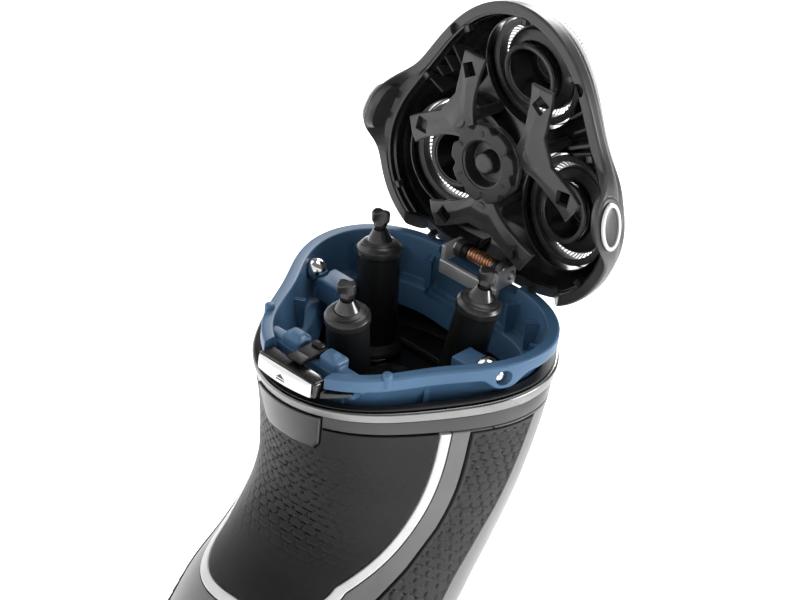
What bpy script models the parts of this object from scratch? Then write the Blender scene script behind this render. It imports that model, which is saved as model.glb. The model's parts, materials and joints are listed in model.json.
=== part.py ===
"""Rotary electric shaver with its head flipped open.

The shaver stands on its base. +Z is up, -Y is the front, +X is the right side.
Shapes are written in millimetres and scaled to metres as each mesh is made.
Three frames are used: the handle frame, whose origin is the centre of the base;
the chamber frame, which leans forward with the neck and has its origin midway
between the three drive towers; and the head frame, which turns about the hinge.
"""
from math import cos, exp, pi, radians, sin

import bmesh
import bpy
from mathutils import Matrix, Vector

MM = 0.001
GAP = 0.3

# Frames
NECK_LEAN = 32.0
CHAMBER_ORIGIN = Vector((0.0, -16.0, 140.0))
HINGE = Vector((0.0, 21.7, -3.2))
OPEN_ANGLE = 95.0
PIN_RADIUS = 0.65
PIVOT = Vector((0.0, 0.2, -6.9))
PIN_BALL_X = 20.8
PIN_END_X = 24.3
PIN_SHANK = 1.2

# Handle: distance down the spine, spine y, spine z, lean, half width, half depth, corner bulge
STATIONS = (
    (0.0, -10.6, 132.2, 32.0, 26.3, 27.6, 0.080),
    (8.0, -6.4, 125.4, 29.5, 25.7, 25.7, 0.085),
    (16.0, -2.6, 118.3, 25.5, 25.2, 24.0, 0.075),
    (24.0, 0.5, 111.0, 19.5, 24.4, 22.5, 0.068),
    (32.0, 2.7, 103.3, 12.0, 23.2, 21.2, 0.070),
    (40.0, 3.8, 95.4, 4.0, 22.5, 20.8, 0.062),
    (50.0, 3.7, 85.4, -3.0, 22.7, 22.0, 0.045),
    (62.0, 2.4, 73.5, -6.5, 23.6, 24.0, 0.030),
    (80.0, 0.8, 55.5, -4.0, 23.4, 22.6, 0.015),
    (105.0, 0.0, 30.5, 0.0, 21.4, 19.4, 0.0),
    (128.0, 0.0, 7.5, 0.0, 19.8, 17.4, 0.0),
    (135.5, 0.0, 0.0, 0.0, 18.9, 16.5, 0.0),
)
BASE_AT = 135.5
CAP_AT = 128.0
WALL = 2.2
POCKET = 1.6
PANEL_THICK = 1.1
SEAM = 86.0
HOUSING_TOP = 6.9
STEP = 10.0
TURN = 12.0

# Front panel and trim, as distances down the spine
PANEL_TOP = 7.0
PANEL_BEND = 49.0
PANEL_END = 60.0
PANEL_SQUARE = 0.75
TRIM_GAP = 0.35
TRIM_WIDTH = 2.1
GRIP_TOP = 7.4
GRIP_END = 104.0

# Side grip edges: distance down the spine, front angle, rear angle
GRIP_EDGES = (
    (0.0, 78.0, 108.0),
    (20.0, 75.0, 101.5),
    (30.0, 72.5, 98.0),
    (40.0, 66.5, 95.5),
    (50.0, 57.0, 95.2),
    (58.0, 50.5, 95.4),
    (67.0, 46.5, 95.4),
    (78.0, 47.5, 94.5),
    (90.0, 56.0, 91.5),
    (100.0, 68.0, 86.0),
    (105.0, 75.0, 80.0),
)

# Collar
LIP_TOP = 0.4
RING_TOP = 1.1
RING_LOW = 3.2
BAND_TOP = 3.5
BAND_LOW = 6.6
LINER = 1.75

# Hair chamber and head outlines: centre y, radius, corner bulge, front-to-back bulge
CHAMBER_OUTLINE = (0.4, 25.3, 3.2, 0.4)
HEAD_OUTLINE = (1.2, 26.7, 2.7, 0.2)
RIM_Z = -4.4
RIM_THICK = 2.24
CHAMBER_FLOOR = -17.0
CHAMBER_PROFILE = ((0.0, RIM_Z - 0.25), (0.0, -6.9), (1.95, -7.3), (3.0, -12.2), (4.5, -13.2),
                   (5.9, CHAMBER_FLOOR), (7.1, CHAMBER_FLOOR), (5.8, -12.5), (3.7, -12.0),
                   (2.5, -5.4), (RIM_THICK, RIM_Z), (0.3, RIM_Z))
DECK_Z = -21.6
DECK_THICK = 1.4

# Drive towers and gears
TOWER_RADIUS = 14.0
TOWER_SPLAY = 8.5
TOWER_ANGLES = {"front": -90.0, "left": 150.0, "right": 30.0}
SHAFT_GEAR_Z = -26.0
PLATE_Z = -29.2
GEAR_THICK = 1.4
GEAR_TEETH = 24
PINION_TEETH = 8
ADDENDUM = 0.45
DEDENDUM = 0.65
BACKLASH = 0.24

# Head
CUTTER_RADIUS = 14.3
CUTTER_CENTRE_Y = 0.1
GUARD_RADIUS = 10.0
GUARD_PIVOT = 4.0
GUARD_PROFILE = ((9.1, 2.6), (9.1, 6.1), (8.3, 7.0), (0, 7.0), (0, 7.9), (4.6, 7.9), (5.1, 7.6),
                 (5.6, 7.9), (8.4, 7.85), (9.4, 7.3), (GUARD_RADIUS, 6.2), (GUARD_RADIUS, 2.6))
CUTTER_PROFILE = ((4.7, 0.8), (3.4, 4.0), (3.0, 4.8), (3.0, 6.5), (8.0, 6.6), (8.0, 5.8),
                  (6.2, 5.5), (5.6, 5.0), (5.9, 0.8))
HEAD_LOBE = 0.10
RIM_N = -0.9
FRAME_CENTRE_Y = 1.0
FRAME_LOW = -3.4
FRAME_THICK = 1.2
FRAME_RING = (5.2, 6.9)
PLATE_HALF = ((6.6, 14.0), (8.4, 20.0), (19.4, 44.0), (18.4, 27.0), (17.0, 21.5), (14.6, 12.0))
SQUARE_RADIUS = 16.5
SQUARE_TURN = 28.0
SQUARE_HALF = 1.3
WHEEL_RADIUS = 7.2
WHEEL_NOTCH = 0.8
WHEEL_SCALLOPS = 9
COVER_OUTER = ((0.3, RIM_N), (0.0, RIM_N + 0.4), (0.2, 1.2), (1.1, 3.2), (2.4, 5.3), (4.1, 7.4),
               (6.3, 9.2), (8.8, 10.0))
COVER_INNER = ((7.6, 8.4), (5.6, 6.8), (3.9, 4.8), (2.7, 2.6), (2.0, RIM_N))
EAR_CENTRE = (1.2, -3.1)
EAR_SLANT = 0.24
NUB_PLACE = (14.2, -18.4)
SWELL = 1.3
SWELL_ANGLE = 90.0
SWELL_FRONT = 17.0
SWELL_REAR = 12.0
SWELL_HEIGHT = 7.0

# Buttons and base
BUTTON_AT = 82.0
BUTTON_RADIUS = 5.6
INLET_SIZE = (9.0, 5.4, 8.0)
INLET_Y = 8.0
INLET_WALL = 1.2
INLET_PIN = 0.8
PIN_SPACING = 2.3
LIGHT_RADIUS = 1.1
LIGHT_DROP = 12.0


# ---------------------------------------------------------------- materials
def material(name, colour, roughness, metallic=0.0):
    """A plain Principled finish."""
    made = bpy.data.materials.new(name)
    made.use_nodes = True
    shader = made.node_tree.nodes["Principled BSDF"]
    shader.inputs["Base Color"].default_value = (*colour, 1.0)
    shader.inputs["Roughness"].default_value = roughness
    shader.inputs["Metallic"].default_value = metallic
    return made


def all_materials():
    """Every finish the shaver uses, by name."""
    return {
        "housing": material("housing", (0.030, 0.032, 0.035), 0.38),
        "soft_black": material("soft_black", (0.012, 0.012, 0.013), 0.62),
        "rubber": material("rubber", (0.018, 0.018, 0.019), 0.72),
        "silver": material("silver", (0.62, 0.64, 0.66), 0.28, 1.0),
        "dark_chrome": material("dark_chrome", (0.16, 0.16, 0.17), 0.16, 1.0),
        "black": material("black", (0.010, 0.010, 0.011), 0.35),
        "blue": material("blue", (0.060, 0.150, 0.290), 0.42),
        "steel": material("steel", (0.60, 0.60, 0.61), 0.30, 1.0),
        "copper": material("copper", (0.62, 0.27, 0.13), 0.30, 1.0),
        "head_grey": material("head_grey", (0.055, 0.057, 0.060), 0.42),
        "frame_grey": material("frame_grey", (0.075, 0.077, 0.080), 0.45),
        "white": material("white", (0.80, 0.81, 0.80), 0.35),
        "board": material("board", (0.03, 0.17, 0.07), 0.50),
        "cell": material("cell", (0.20, 0.28, 0.36), 0.45),
        "lens": material("lens", (0.55, 0.70, 0.85), 0.15),
    }


# ---------------------------------------------------------------- frames
def frame(name, location, tilt, parent=None):
    """An empty at a place in millimetres, turned about X by tilt degrees."""
    empty = bpy.data.objects.new(name, None)
    bpy.context.collection.objects.link(empty)
    empty.location = location * MM
    empty.rotation_euler = (radians(tilt), 0.0, 0.0)
    empty.parent = parent
    return empty


def splayed_frame(name, angle, radius, centre, parent):
    """An empty on a circle round centre, with Z along an axis that splays outwards."""
    empty = bpy.data.objects.new(name + "_axis", None)
    bpy.context.collection.objects.link(empty)
    turn = Matrix.Rotation(radians(angle), 4, "Z") @ Matrix.Rotation(radians(TOWER_SPLAY), 4, "Y")
    place = centre + radius * Vector((cos(radians(angle)), sin(radians(angle)), 0.0))
    empty.matrix_local = Matrix.Translation(place * MM) @ turn
    empty.parent = parent
    return empty


def to_chamber(point):
    """A handle-frame point in chamber-frame millimetres."""
    return Matrix.Rotation(radians(-NECK_LEAN), 3, "X") @ (point - CHAMBER_ORIGIN)


# ---------------------------------------------------------------- mesh tools
def make_object(name, bm, finish, parent=None, origin=(0.0, 0.0, 0.0), smooth=35.0):
    """Turn a mesh in millimetres into an object whose origin is at origin."""
    bmesh.ops.recalc_face_normals(bm, faces=bm.faces)
    bmesh.ops.translate(bm, verts=bm.verts, vec=-Vector(origin))
    bmesh.ops.scale(bm, verts=bm.verts, vec=(MM, MM, MM))
    bmesh.ops.triangulate(bm, faces=bm.faces)
    mesh = bpy.data.meshes.new(name)
    bm.to_mesh(mesh)
    bm.free()
    mesh.materials.append(finish)
    mesh.shade_smooth()
    mesh.set_sharp_from_angle(angle=radians(smooth))
    made = bpy.data.objects.new(name, mesh)
    bpy.context.collection.objects.link(made)
    made.location = Vector(origin) * MM
    made.parent = parent
    return made


def boolean(target, tool, operation):
    """Cut or join tool into target, and hide the tool."""
    tool.hide_render = True
    tool.display_type = "WIRE"
    step = target.modifiers.new(tool.name, "BOOLEAN")
    step.object = tool
    step.operation = operation
    step.solver = "EXACT"
    return target


def cut(target, tool):
    """Remove the tool's volume from the target."""
    return boolean(target, tool, "DIFFERENCE")


def join(target, tool):
    """Add the tool's volume to the target."""
    return boolean(target, tool, "UNION")


def loft(rings, looped=False, capped=True):
    """Skin closed rings of equal length; looped joins the last ring to the first."""
    bm = bmesh.new()
    rows = [[bm.verts.new(point) for point in ring] for ring in rings]
    count = len(rows[0])
    pairs = list(zip(rows, rows[1:]))
    if looped:
        pairs.append((rows[-1], rows[0]))
    for upper, lower in pairs:
        for i in range(count):
            j = (i + 1) % count
            bm.faces.new((upper[i], upper[j], lower[j], lower[i]))
    if capped and not looped:
        bm.faces.new(rows[0])
        bm.faces.new(rows[-1])
    return bm


def slab(outer, inner):
    """A solid between two grids of points of the same size."""
    bm = bmesh.new()
    top = [[bm.verts.new(point) for point in row] for row in outer]
    bottom = [[bm.verts.new(point) for point in row] for row in inner]
    rows, cols = len(top), len(top[0])
    for i in range(rows - 1):
        for j in range(cols - 1):
            bm.faces.new((top[i][j], top[i][j + 1], top[i + 1][j + 1], top[i + 1][j]))
            bm.faces.new((bottom[i][j], bottom[i + 1][j], bottom[i + 1][j + 1], bottom[i][j + 1]))
    for i in range(rows - 1):
        for j in (0, cols - 1):
            bm.faces.new((top[i][j], top[i + 1][j], bottom[i + 1][j], bottom[i][j]))
    for j in range(cols - 1):
        for i in (0, rows - 1):
            bm.faces.new((top[i][j], top[i][j + 1], bottom[i][j + 1], bottom[i][j]))
    return bm


def turned(profile, segments=24, axis="Z", at=(0.0, 0.0, 0.0), looped=False):
    """A solid turned about an axis from (radius, height) points; radius 0 makes a pole."""
    bm = bmesh.new()
    rows = []
    for radius, height in profile:
        if radius == 0.0:
            rows.append([bm.verts.new((0.0, 0.0, height))])
            continue
        angles = [2.0 * pi * k / segments for k in range(segments)]
        rows.append([bm.verts.new((radius * cos(a), radius * sin(a), height)) for a in angles])
    pairs = list(zip(rows, rows[1:]))
    if looped:
        pairs.append((rows[-1], rows[0]))
    for first, second in pairs:
        if len(first) + len(second) == 2:
            continue
        for i in range(segments):
            corner = []
            for vert in (first[i % len(first)], first[(i + 1) % len(first)],
                         second[(i + 1) % len(second)], second[i % len(second)]):
                if vert not in corner:
                    corner.append(vert)
            bm.faces.new(corner)
    turns = {"Z": Matrix.Identity(4), "X": Matrix.Rotation(pi / 2, 4, "Y"),
             "Y": Matrix.Rotation(-pi / 2, 4, "X")}
    bmesh.ops.transform(bm, matrix=Matrix.Translation(at) @ turns[axis], verts=bm.verts)
    return bm


def disc(radius, low, high, segments=24, axis="Z", at=(0.0, 0.0, 0.0), edge=0.0):
    """A cylinder from low to high with an optional chamfered top edge."""
    profile = [(0.0, low), (radius, low), (radius, high - edge)]
    if edge:
        profile.append((radius - edge, high))
    profile.append((0.0, high))
    return turned(profile, segments, axis, at)


def ball(radius, at, segments=16):
    """A sphere turned about Z."""
    rows = segments // 2
    profile = [(radius * sin(pi * k / rows), -radius * cos(pi * k / rows)) for k in range(1, rows)]
    return turned([(0.0, -radius)] + profile + [(0.0, radius)], segments, "Z", at)


def box(low, high, bevel=0.0):
    """A block between two corners with optionally bevelled edges."""
    bm = bmesh.new()
    bmesh.ops.create_cube(bm, size=1.0)
    size = [b - a for a, b in zip(low, high)]
    middle = [(a + b) / 2.0 for a, b in zip(low, high)]
    bmesh.ops.scale(bm, verts=bm.verts, vec=size)
    bmesh.ops.translate(bm, verts=bm.verts, vec=middle)
    if bevel:
        bmesh.ops.bevel(bm, geom=bm.edges[:], offset=bevel, segments=1, affect="EDGES")
    return bm


def prism(outline, low, high):
    """An upright solid from a flat outline of (x, y) points."""
    return loft([[(x, y, height) for x, y in outline] for height in (low, high)])


def helix(radius, wire, turns, length, per_turn=10, sides=5, axis="Z", at=(0.0, 0.0, 0.0)):
    """A coil of round wire with flat ends, starting at its low end."""
    rings = []
    count = int(turns * per_turn)
    for k in range(count + 1):
        angle = 2.0 * pi * k / per_turn
        height = length * k / count
        ring = []
        for side in range(sides):
            around = 2.0 * pi * side / sides
            reach = radius + wire * cos(around)
            ring.append((reach * cos(angle), reach * sin(angle), height + wire * sin(around)))
        rings.append(ring)
    bm = loft(rings)
    turn = Matrix.Rotation(pi / 2, 4, "Y") if axis == "X" else Matrix.Identity(4)
    bmesh.ops.transform(bm, matrix=Matrix.Translation(at) @ turn, verts=bm.verts)
    return bm


# ---------------------------------------------------------------- outlines
def between(low, high, step):
    """Evenly spaced values from low to high, no further apart than step."""
    count = max(1, round(abs(high - low) / step + 0.49))
    return [low + (high - low) * k / count for k in range(count + 1)]


def station(distance):
    """Spine place, lean and half sizes at a distance, read as a smooth curve."""
    rows = STATIONS
    k = 0
    while k < len(rows) - 2 and distance > rows[k + 1][0]:
        k += 1
    first, second = rows[k], rows[k + 1]
    before, after = rows[max(k - 1, 0)], rows[min(k + 2, len(rows) - 1)]
    span = second[0] - first[0]
    t = (distance - first[0]) / span
    values = []
    for c in range(1, len(first)):
        slope_in = (second[c] - before[c]) / (second[0] - before[0])
        slope_out = (after[c] - first[c]) / (after[0] - first[0])
        values.append((2 * t**3 - 3 * t**2 + 1) * first[c] + (t**3 - 2 * t**2 + t) * span * slope_in
                      + (3 * t**2 - 2 * t**3) * second[c] + (t**3 - t**2) * span * slope_out)
    return values


def skin(distance, angle, offset=0.0):
    """A handle-frame point; angle is in degrees from the front, towards the right."""
    y, z, lean, width, depth, bulge = station(distance)
    turn, lean = radians(angle), radians(lean)
    swell = 1.0 + bulge * cos(3.0 * turn)
    across = (width * swell + offset) * sin(turn)
    back = -(depth * swell + offset) * cos(turn)
    return Vector((across, y + back * cos(lean), z + back * sin(lean)))


def skin_ring(distance, offset):
    """A closed ring round the handle."""
    return [skin(distance, angle, offset) for angle in between(-180.0, 180.0, TURN)[:-1]]


def outline(shape, inset, angle):
    """An (x, y) point of a rounded triangle with a corner at the front."""
    centre, radius, corner, long = shape
    turn = radians(angle)
    reach = radius + corner * cos(3.0 * turn) + long * cos(2.0 * turn) - inset
    return reach * sin(turn), centre - reach * cos(turn)


def outline_ring(shape, inset, height, step=8.0):
    """A closed ring of a rounded triangle at one height."""
    angles = between(-180.0, 180.0, step)[:-1]
    return [Vector((*outline(shape, inset, angle), height)) for angle in angles]


def panel_edge(part, spread, top=PANEL_TOP):
    """Distance and angle on the front panel's U-shaped edge, widened by spread.

    part runs from 0 at the upper left to 1 at the upper right, through the U at 0.5.
    """
    side = -1.0 if part < 0.5 else 1.0
    along = 1.0 - abs(2.0 * part - 1.0)
    straight = 0.72
    if along < straight:
        distance = top + (PANEL_BEND - top) * along / straight
        bend = 1.0
    else:
        turn = (along - straight) / (1.0 - straight) * pi / 2
        distance = PANEL_BEND + (PANEL_END + spread - PANEL_BEND) * sin(turn)
        bend = max(cos(turn), 0.0) ** PANEL_SQUARE
    edge = panel_half_width(min(distance, PANEL_BEND)) + spread
    reach = (station(distance)[3] + station(distance)[4]) / 2.0
    return distance, side * bend * edge / reach * 180.0 / pi


def panel_half_width(distance):
    """Half the front panel's width round the surface."""
    return 29.4 - 2.06 * (distance / 10.0) - 0.22 * (distance / 10.0) ** 2


def grip_angles(distance):
    """Front and rear edge angles of a side grip."""
    rows = GRIP_EDGES
    k = 0
    while k < len(rows) - 2 and distance > rows[k + 1][0]:
        k += 1
    share = (distance - rows[k][0]) / (rows[k + 1][0] - rows[k][0])
    return [rows[k][c] + (rows[k + 1][c] - rows[k][c]) * share for c in (1, 2)]


def deck_xy(angle, radius, centre=0.0):
    """A point on a circle about the chamber axis; angle is from +X."""
    return radius * cos(radians(angle)), centre + radius * sin(radians(angle))


# ---------------------------------------------------------------- handle
def housing_half(name, first, last, finish):
    """One half of the handle's outer shell, between two angles."""
    distances = between(HOUSING_TOP, CAP_AT - GAP, STEP)
    angles = between(first, last, TURN)
    outer = [[skin(s, a) for a in angles] for s in distances]
    inner = [[skin(s, a, -WALL) for a in angles] for s in distances]
    return make_object(name, slab(outer, inner), finish)


def panel_region(name, spread, low, high, finish, top=PANEL_TOP):
    """A solid over the front panel's U-shaped region."""
    parts = [k / 40.0 for k in range(20)] + [0.497]
    outer, inner = [], []
    for part in parts:
        distance, angle = panel_edge(part, spread, top)
        angles = [angle - 2.0 * angle * k / 8 for k in range(9)]
        outer.append([skin(distance, a, high) for a in angles])
        inner.append([skin(distance, a, low) for a in angles])
    return make_object(name, slab(outer, inner), finish)


def trim_strip(name, near, far, low, high, finish):
    """A U-shaped strip along the front panel's edge."""
    outer, inner = [], []
    for k in range(41):
        line = [panel_edge(k / 40.0, spread) for spread in (near, far)]
        outer.append([skin(s, a, high) for s, a in line])
        inner.append([skin(s, a, low) for s, a in line])
    return make_object(name, slab(outer, inner), finish)


def grip_region(name, side, spread, low, high, finish):
    """A solid over one side grip."""
    outer, inner = [], []
    for s in between(GRIP_TOP - spread, GRIP_END + spread, STEP):
        front, rear = grip_angles(s)
        front -= spread * 4.4
        rear += spread * 3.2
        angles = [side * (front + (rear - front) * k / 3) for k in range(4)]
        outer.append([skin(s, a, high) for a in angles])
        inner.append([skin(s, a, low) for a in angles])
    return make_object(name, slab(outer, inner), finish)


def button_centre():
    """The power button's centre on the front surface."""
    return skin(BUTTON_AT, 0.0)


def build_handle_shell(finish):
    """Housing halves, front panel, silver trim and side grips."""
    front = housing_half("front_housing", -SEAM + 0.4, SEAM - 0.4, finish["housing"])
    rear = housing_half("rear_housing", SEAM + 0.4, 360.0 - SEAM - 0.4, finish["housing"])
    pocket = panel_region("cut_panel", 2.0 * TRIM_GAP + TRIM_WIDTH, -POCKET, 3.0, finish["black"],
                          PANEL_TOP - 2.0)
    cut(front, pocket)
    panel_region("front_panel", 0.0, -PANEL_THICK, 0.0, finish["soft_black"])
    trim_strip("silver_trim", TRIM_GAP, TRIM_GAP + TRIM_WIDTH, -PANEL_THICK, 0.15, finish["silver"])
    for side, word in ((1.0, "right"), (-1.0, "left")):
        pocket = grip_region("cut_grip_" + word, side, GAP, -POCKET, 3.0, finish["black"])
        cut(front, pocket)
        cut(rear, pocket)
        grip_region("side_grip_" + word, side, 0.0, -PANEL_THICK, 0.1, finish["rubber"])
    centre = button_centre()
    hole = disc(BUTTON_RADIUS + GAP, -6.0, 6.0, axis="Y", at=centre)
    cut(front, make_object("cut_button", hole, finish["black"]))
    hole = disc(LIGHT_RADIUS + GAP, -6.0, 6.0, 12, "Y", centre - Vector((0.0, 0.0, LIGHT_DROP)))
    cut(front, make_object("cut_light", hole, finish["black"]))
    return front


def build_collar(finish):
    """Chrome ring and the dark band below it."""
    ring = ((RING_TOP, -0.3), (RING_TOP + 0.3, 0.1), (RING_LOW, 0.1), (RING_LOW, GAP - LINER),
            (RING_TOP, GAP - LINER))
    make_object("collar_ring", loft([skin_ring(*point) for point in ring], looped=True),
                finish["dark_chrome"])
    band = ((BAND_TOP, -0.25), (BAND_LOW, -0.15), (BAND_LOW, GAP - LINER), (BAND_TOP, GAP - LINER))
    return make_object("collar_band", loft([skin_ring(*point) for point in band], looped=True),
                       finish["black"])


def build_front_plate(front, panel, band, finish):
    """The plate below the release button, set into the band and the panel."""
    def region(name, grow, low, high):
        outer, inner = [], []
        for s in between(3.6 - grow, 13.1 + grow, 2.6):
            half = 15.5 + 1.8 * grow - 0.25 * (s - 3.5)
            angles = [-half + 2.0 * half * k / 4 for k in range(5)]
            outer.append([skin(s, a, high) for a in angles])
            inner.append([skin(s, a, low) for a in angles])
        return make_object(name, slab(outer, inner), finish["dark_chrome"])

    pocket = region("cut_plate", GAP, -0.95, 3.0)
    for target in (front, panel, band):
        cut(target, pocket)
    region("front_plate", 0.0, -0.6, 0.45)


def build_base(finish):
    """Base cap with a recessed charging inlet and its two pins."""
    rings = [skin_ring(CAP_AT, 0.0), skin_ring(131.5, 0.0), skin_ring(134.6, -0.2),
             skin_ring(BASE_AT, -1.2)]
    cap = make_object("base_cap", loft(rings), finish["housing"])
    plug = make_object("plug_cap", loft([skin_ring(CAP_AT + 1.0, -WALL - GAP),
                                         skin_ring(CAP_AT - 4.0, -WALL - GAP)]), finish["housing"])
    join(cap, plug)
    half_x, half_y, deep = INLET_SIZE[0] / 2.0, INLET_SIZE[1] / 2.0, INLET_SIZE[2]
    bottom = 0.4

    def block(grow, low, high):
        reach_x, reach_y = half_x + grow, half_y + grow
        return box((-reach_x, INLET_Y - reach_y, low), (reach_x, INLET_Y + reach_y, high))

    cut(cap, make_object("cut_seat", block(INLET_WALL + GAP, -1.0, 30.0), finish["black"]))
    inlet = make_object("charging_inlet", block(INLET_WALL, bottom, bottom + deep + INLET_WALL), finish["black"])
    cut(inlet, make_object("cut_inlet", block(0.0, -1.0, bottom + deep), finish["black"]))
    for side, word in ((1.0, "right"), (-1.0, "left")):
        place = (side * PIN_SPACING, INLET_Y, 0.0)
        hole = disc(INLET_PIN + GAP, 5.0, 14.0, 12, "Z", place)
        cut(inlet, make_object("cut_pin_" + word, hole, finish["black"]))
        make_object("inlet_pin_" + word, disc(INLET_PIN, 4.8, 13.5, 12, "Z", place), finish["steel"])
    return cap


def build_insides(chamber, finish):
    """Battery, circuit board, motor, pinion, power button and light."""
    make_object("battery", turned([(0, 16.0), (6.8, 16.0), (7.2, 16.4), (7.2, 65.0), (6.8, 65.4),
                                   (2.6, 65.4), (2.6, 66.8), (0, 66.8)], 16, "Z", (0.0, 2.0, 0.0)),
                finish["cell"])
    make_object("circuit_board", box((-9.0, -11.6, 24.0), (9.0, -10.2, 82.0)), finish["board"])
    motor = turned([(0, -50.6), (2.4, -50.6), (2.4, -49.2), (9.2, -49.2), (9.2, -30.0), (3.0, -30.0),
                    (3.0, -29.6), (1.5, -29.6), (1.5, -34.6), (0, -34.6)], 16)
    make_object("motor", motor, finish["steel"], chamber)
    centre = button_centre()
    make_object("power_button", power_button_mesh(centre), finish["silver"], origin=centre)
    light = disc(LIGHT_RADIUS, -1.5, 0.0, 12, "Y", centre + Vector((0.0, 0.2, -LIGHT_DROP)))
    make_object("charge_light", light, finish["lens"])


def power_button_mesh(centre):
    """A round domed button with a shorter stem behind it."""
    profile = [(0, 6.0), (1.8, 6.0), (1.8, 1.9), (BUTTON_RADIUS, 1.9), (BUTTON_RADIUS, 0.0),
               (BUTTON_RADIUS - 0.7, -0.5), (2.5, -0.3), (0, -0.2)]
    return turned(profile, 20, "Y", centre)


# ---------------------------------------------------------------- drive
def toothed(teeth, pitch_radius, low, high, phase):
    """A spur gear blank about Z with straight-sided teeth and some backlash."""
    tip = pitch_radius + ADDENDUM
    root = pitch_radius - DEDENDUM
    pitch = 2.0 * pi / teeth
    half_pitch_tooth = pitch / 4.0 - BACKLASH / 2.0 / pitch_radius
    half_root, half_tip = half_pitch_tooth * 1.45, half_pitch_tooth * 0.55
    points = []
    for tooth in range(teeth):
        middle = phase + tooth * pitch
        for reach, turn in ((root, -half_root), (tip, -half_tip), (tip, half_tip), (root, half_root)):
            points.append((reach * cos(middle + turn), reach * sin(middle + turn)))
    return prism(points, low, high)


def mesh_offset(angle):
    """Angle from a tower's direction to the nearest pinion tooth, in radians."""
    pitch = 360.0 / PINION_TEETH
    return radians((-90.0 - angle + pitch / 2.0) % pitch - pitch / 2.0)


def gear_distance():
    """Distance of a drive gear's centre from the chamber axis at its own height."""
    return TOWER_RADIUS - abs(SHAFT_GEAR_Z) * sin(radians(TOWER_SPLAY)) / cos(radians(TOWER_SPLAY))


def build_towers(chamber, deck, finish):
    """Three splayed towers, each with its gear shaft, seal, spring and coupling."""
    along = SHAFT_GEAR_Z / cos(radians(TOWER_SPLAY))
    gear_radius = gear_distance() * GEAR_TEETH / (GEAR_TEETH + PINION_TEETH)
    shaft_bore = 1.2
    for word, angle in TOWER_ANGLES.items():
        axis = splayed_frame("tower_" + word, angle, TOWER_RADIUS, Vector(), chamber)
        tower = [(3.75, -20.6), (3.8, -2.0), (4.0, -1.7), (4.0, -0.4), (3.6, 0.0), (2.4, 0.6),
                 (2.4, -20.6)]
        make_object("drive_tower_" + word, turned(tower, 20, looped=True), finish["black"], axis)
        seal = [(2.05, -1.4), (2.05, 0.8), (1.2, 2.9), (1.1, 2.9), (1.1, -1.4)]
        make_object("tower_seal_" + word, turned(seal, 16, looped=True), finish["black"], axis)
        phase = pi + pi / GEAR_TEETH - mesh_offset(angle) * PINION_TEETH / GEAR_TEETH
        gear = make_object("drive_gear_" + word,
                           toothed(GEAR_TEETH, gear_radius, along - GEAR_THICK / 2,
                                   along + GEAR_THICK / 2, phase), finish["white"], axis)
        shaft = [(0, along - 1.1), (2.0, along - 1.1), (2.0, -2.0), (shaft_bore, -2.0),
                 (shaft_bore, along + 3.0), (0, along + 3.0)]
        join(gear, make_object("shaft_" + word, turned(shaft, 10), finish["white"], axis))
        make_object("coupling_spring_" + word,
                    helix(0.72, 0.2, 4, 11.0, 6, 4, at=(0.0, 0.0, along + 3.6)), finish["steel"], axis)
        make_object("coupling_" + word, coupling_mesh(), finish["black"], axis)
        hole = make_object("cut_shaft_" + word, disc(2.5, -26.0, -18.0), finish["black"], axis)
        cut(deck, hole)


def coupling_mesh():
    """A stem that rises out of the tower and ends in a twisted two-lobed head."""
    sides = 12
    stem = [(-8.8, 0.82), (2.9, 0.82), (3.5, 1.05), (3.9, 1.0)]
    rings = []
    for height, radius in stem:
        rings.append([(radius * cos(2 * pi * k / sides), radius * sin(2 * pi * k / sides), height)
                      for k in range(sides)])
    for step in range(6):
        t = step / 5.0
        height = 4.1 + 2.6 * t
        twist = radians(35.0 * t)
        shrink = 1.0 if step < 5 else 0.86
        ring = []
        for k in range(sides):
            around = 2 * pi * k / sides
            reach = (1.25 + 0.46 * cos(2.0 * (around - twist))) * shrink
            ring.append((reach * cos(around), reach * sin(around), height))
        rings.append(ring)
    return loft(rings)


def build_gearbox(chamber, finish):
    """Motor pinion and the plate that the motor hangs from."""
    pinion_radius = gear_distance() * PINION_TEETH / (GEAR_TEETH + PINION_TEETH)
    low, high = SHAFT_GEAR_Z - 1.4, SHAFT_GEAR_Z + 1.6
    pinion = make_object("motor_pinion",
                         toothed(PINION_TEETH, pinion_radius, low, high, radians(-90.0)),
                         finish["white"], chamber)
    shaft = disc(1.1, -34.2, high + 0.3, 16)
    join(pinion, make_object("shaft_pinion", shaft, finish["white"], chamber))
    shape = (-0.4, 19.6, 1.4, 0.0)
    rings = [outline_ring(shape, 0.0, height, 10.0) for height in (PLATE_Z, PLATE_Z + 0.8)]
    plate = make_object("gear_plate", loft(rings), finish["frame_grey"], chamber)
    for k in range(3):
        x, y = deck_xy(120.0 * k - 30.0, 17.0)
        post = disc(1.5, PLATE_Z + 0.4, DECK_Z - DECK_THICK - GAP, 10, "Z", (x, y, 0.0))
        join(plate, make_object("plate_post_%d" % k, post, finish["frame_grey"], chamber))
    cut(plate, make_object("cut_plate_bore", disc(1.6, -31.0, -26.0, 20), finish["black"], chamber))


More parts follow.
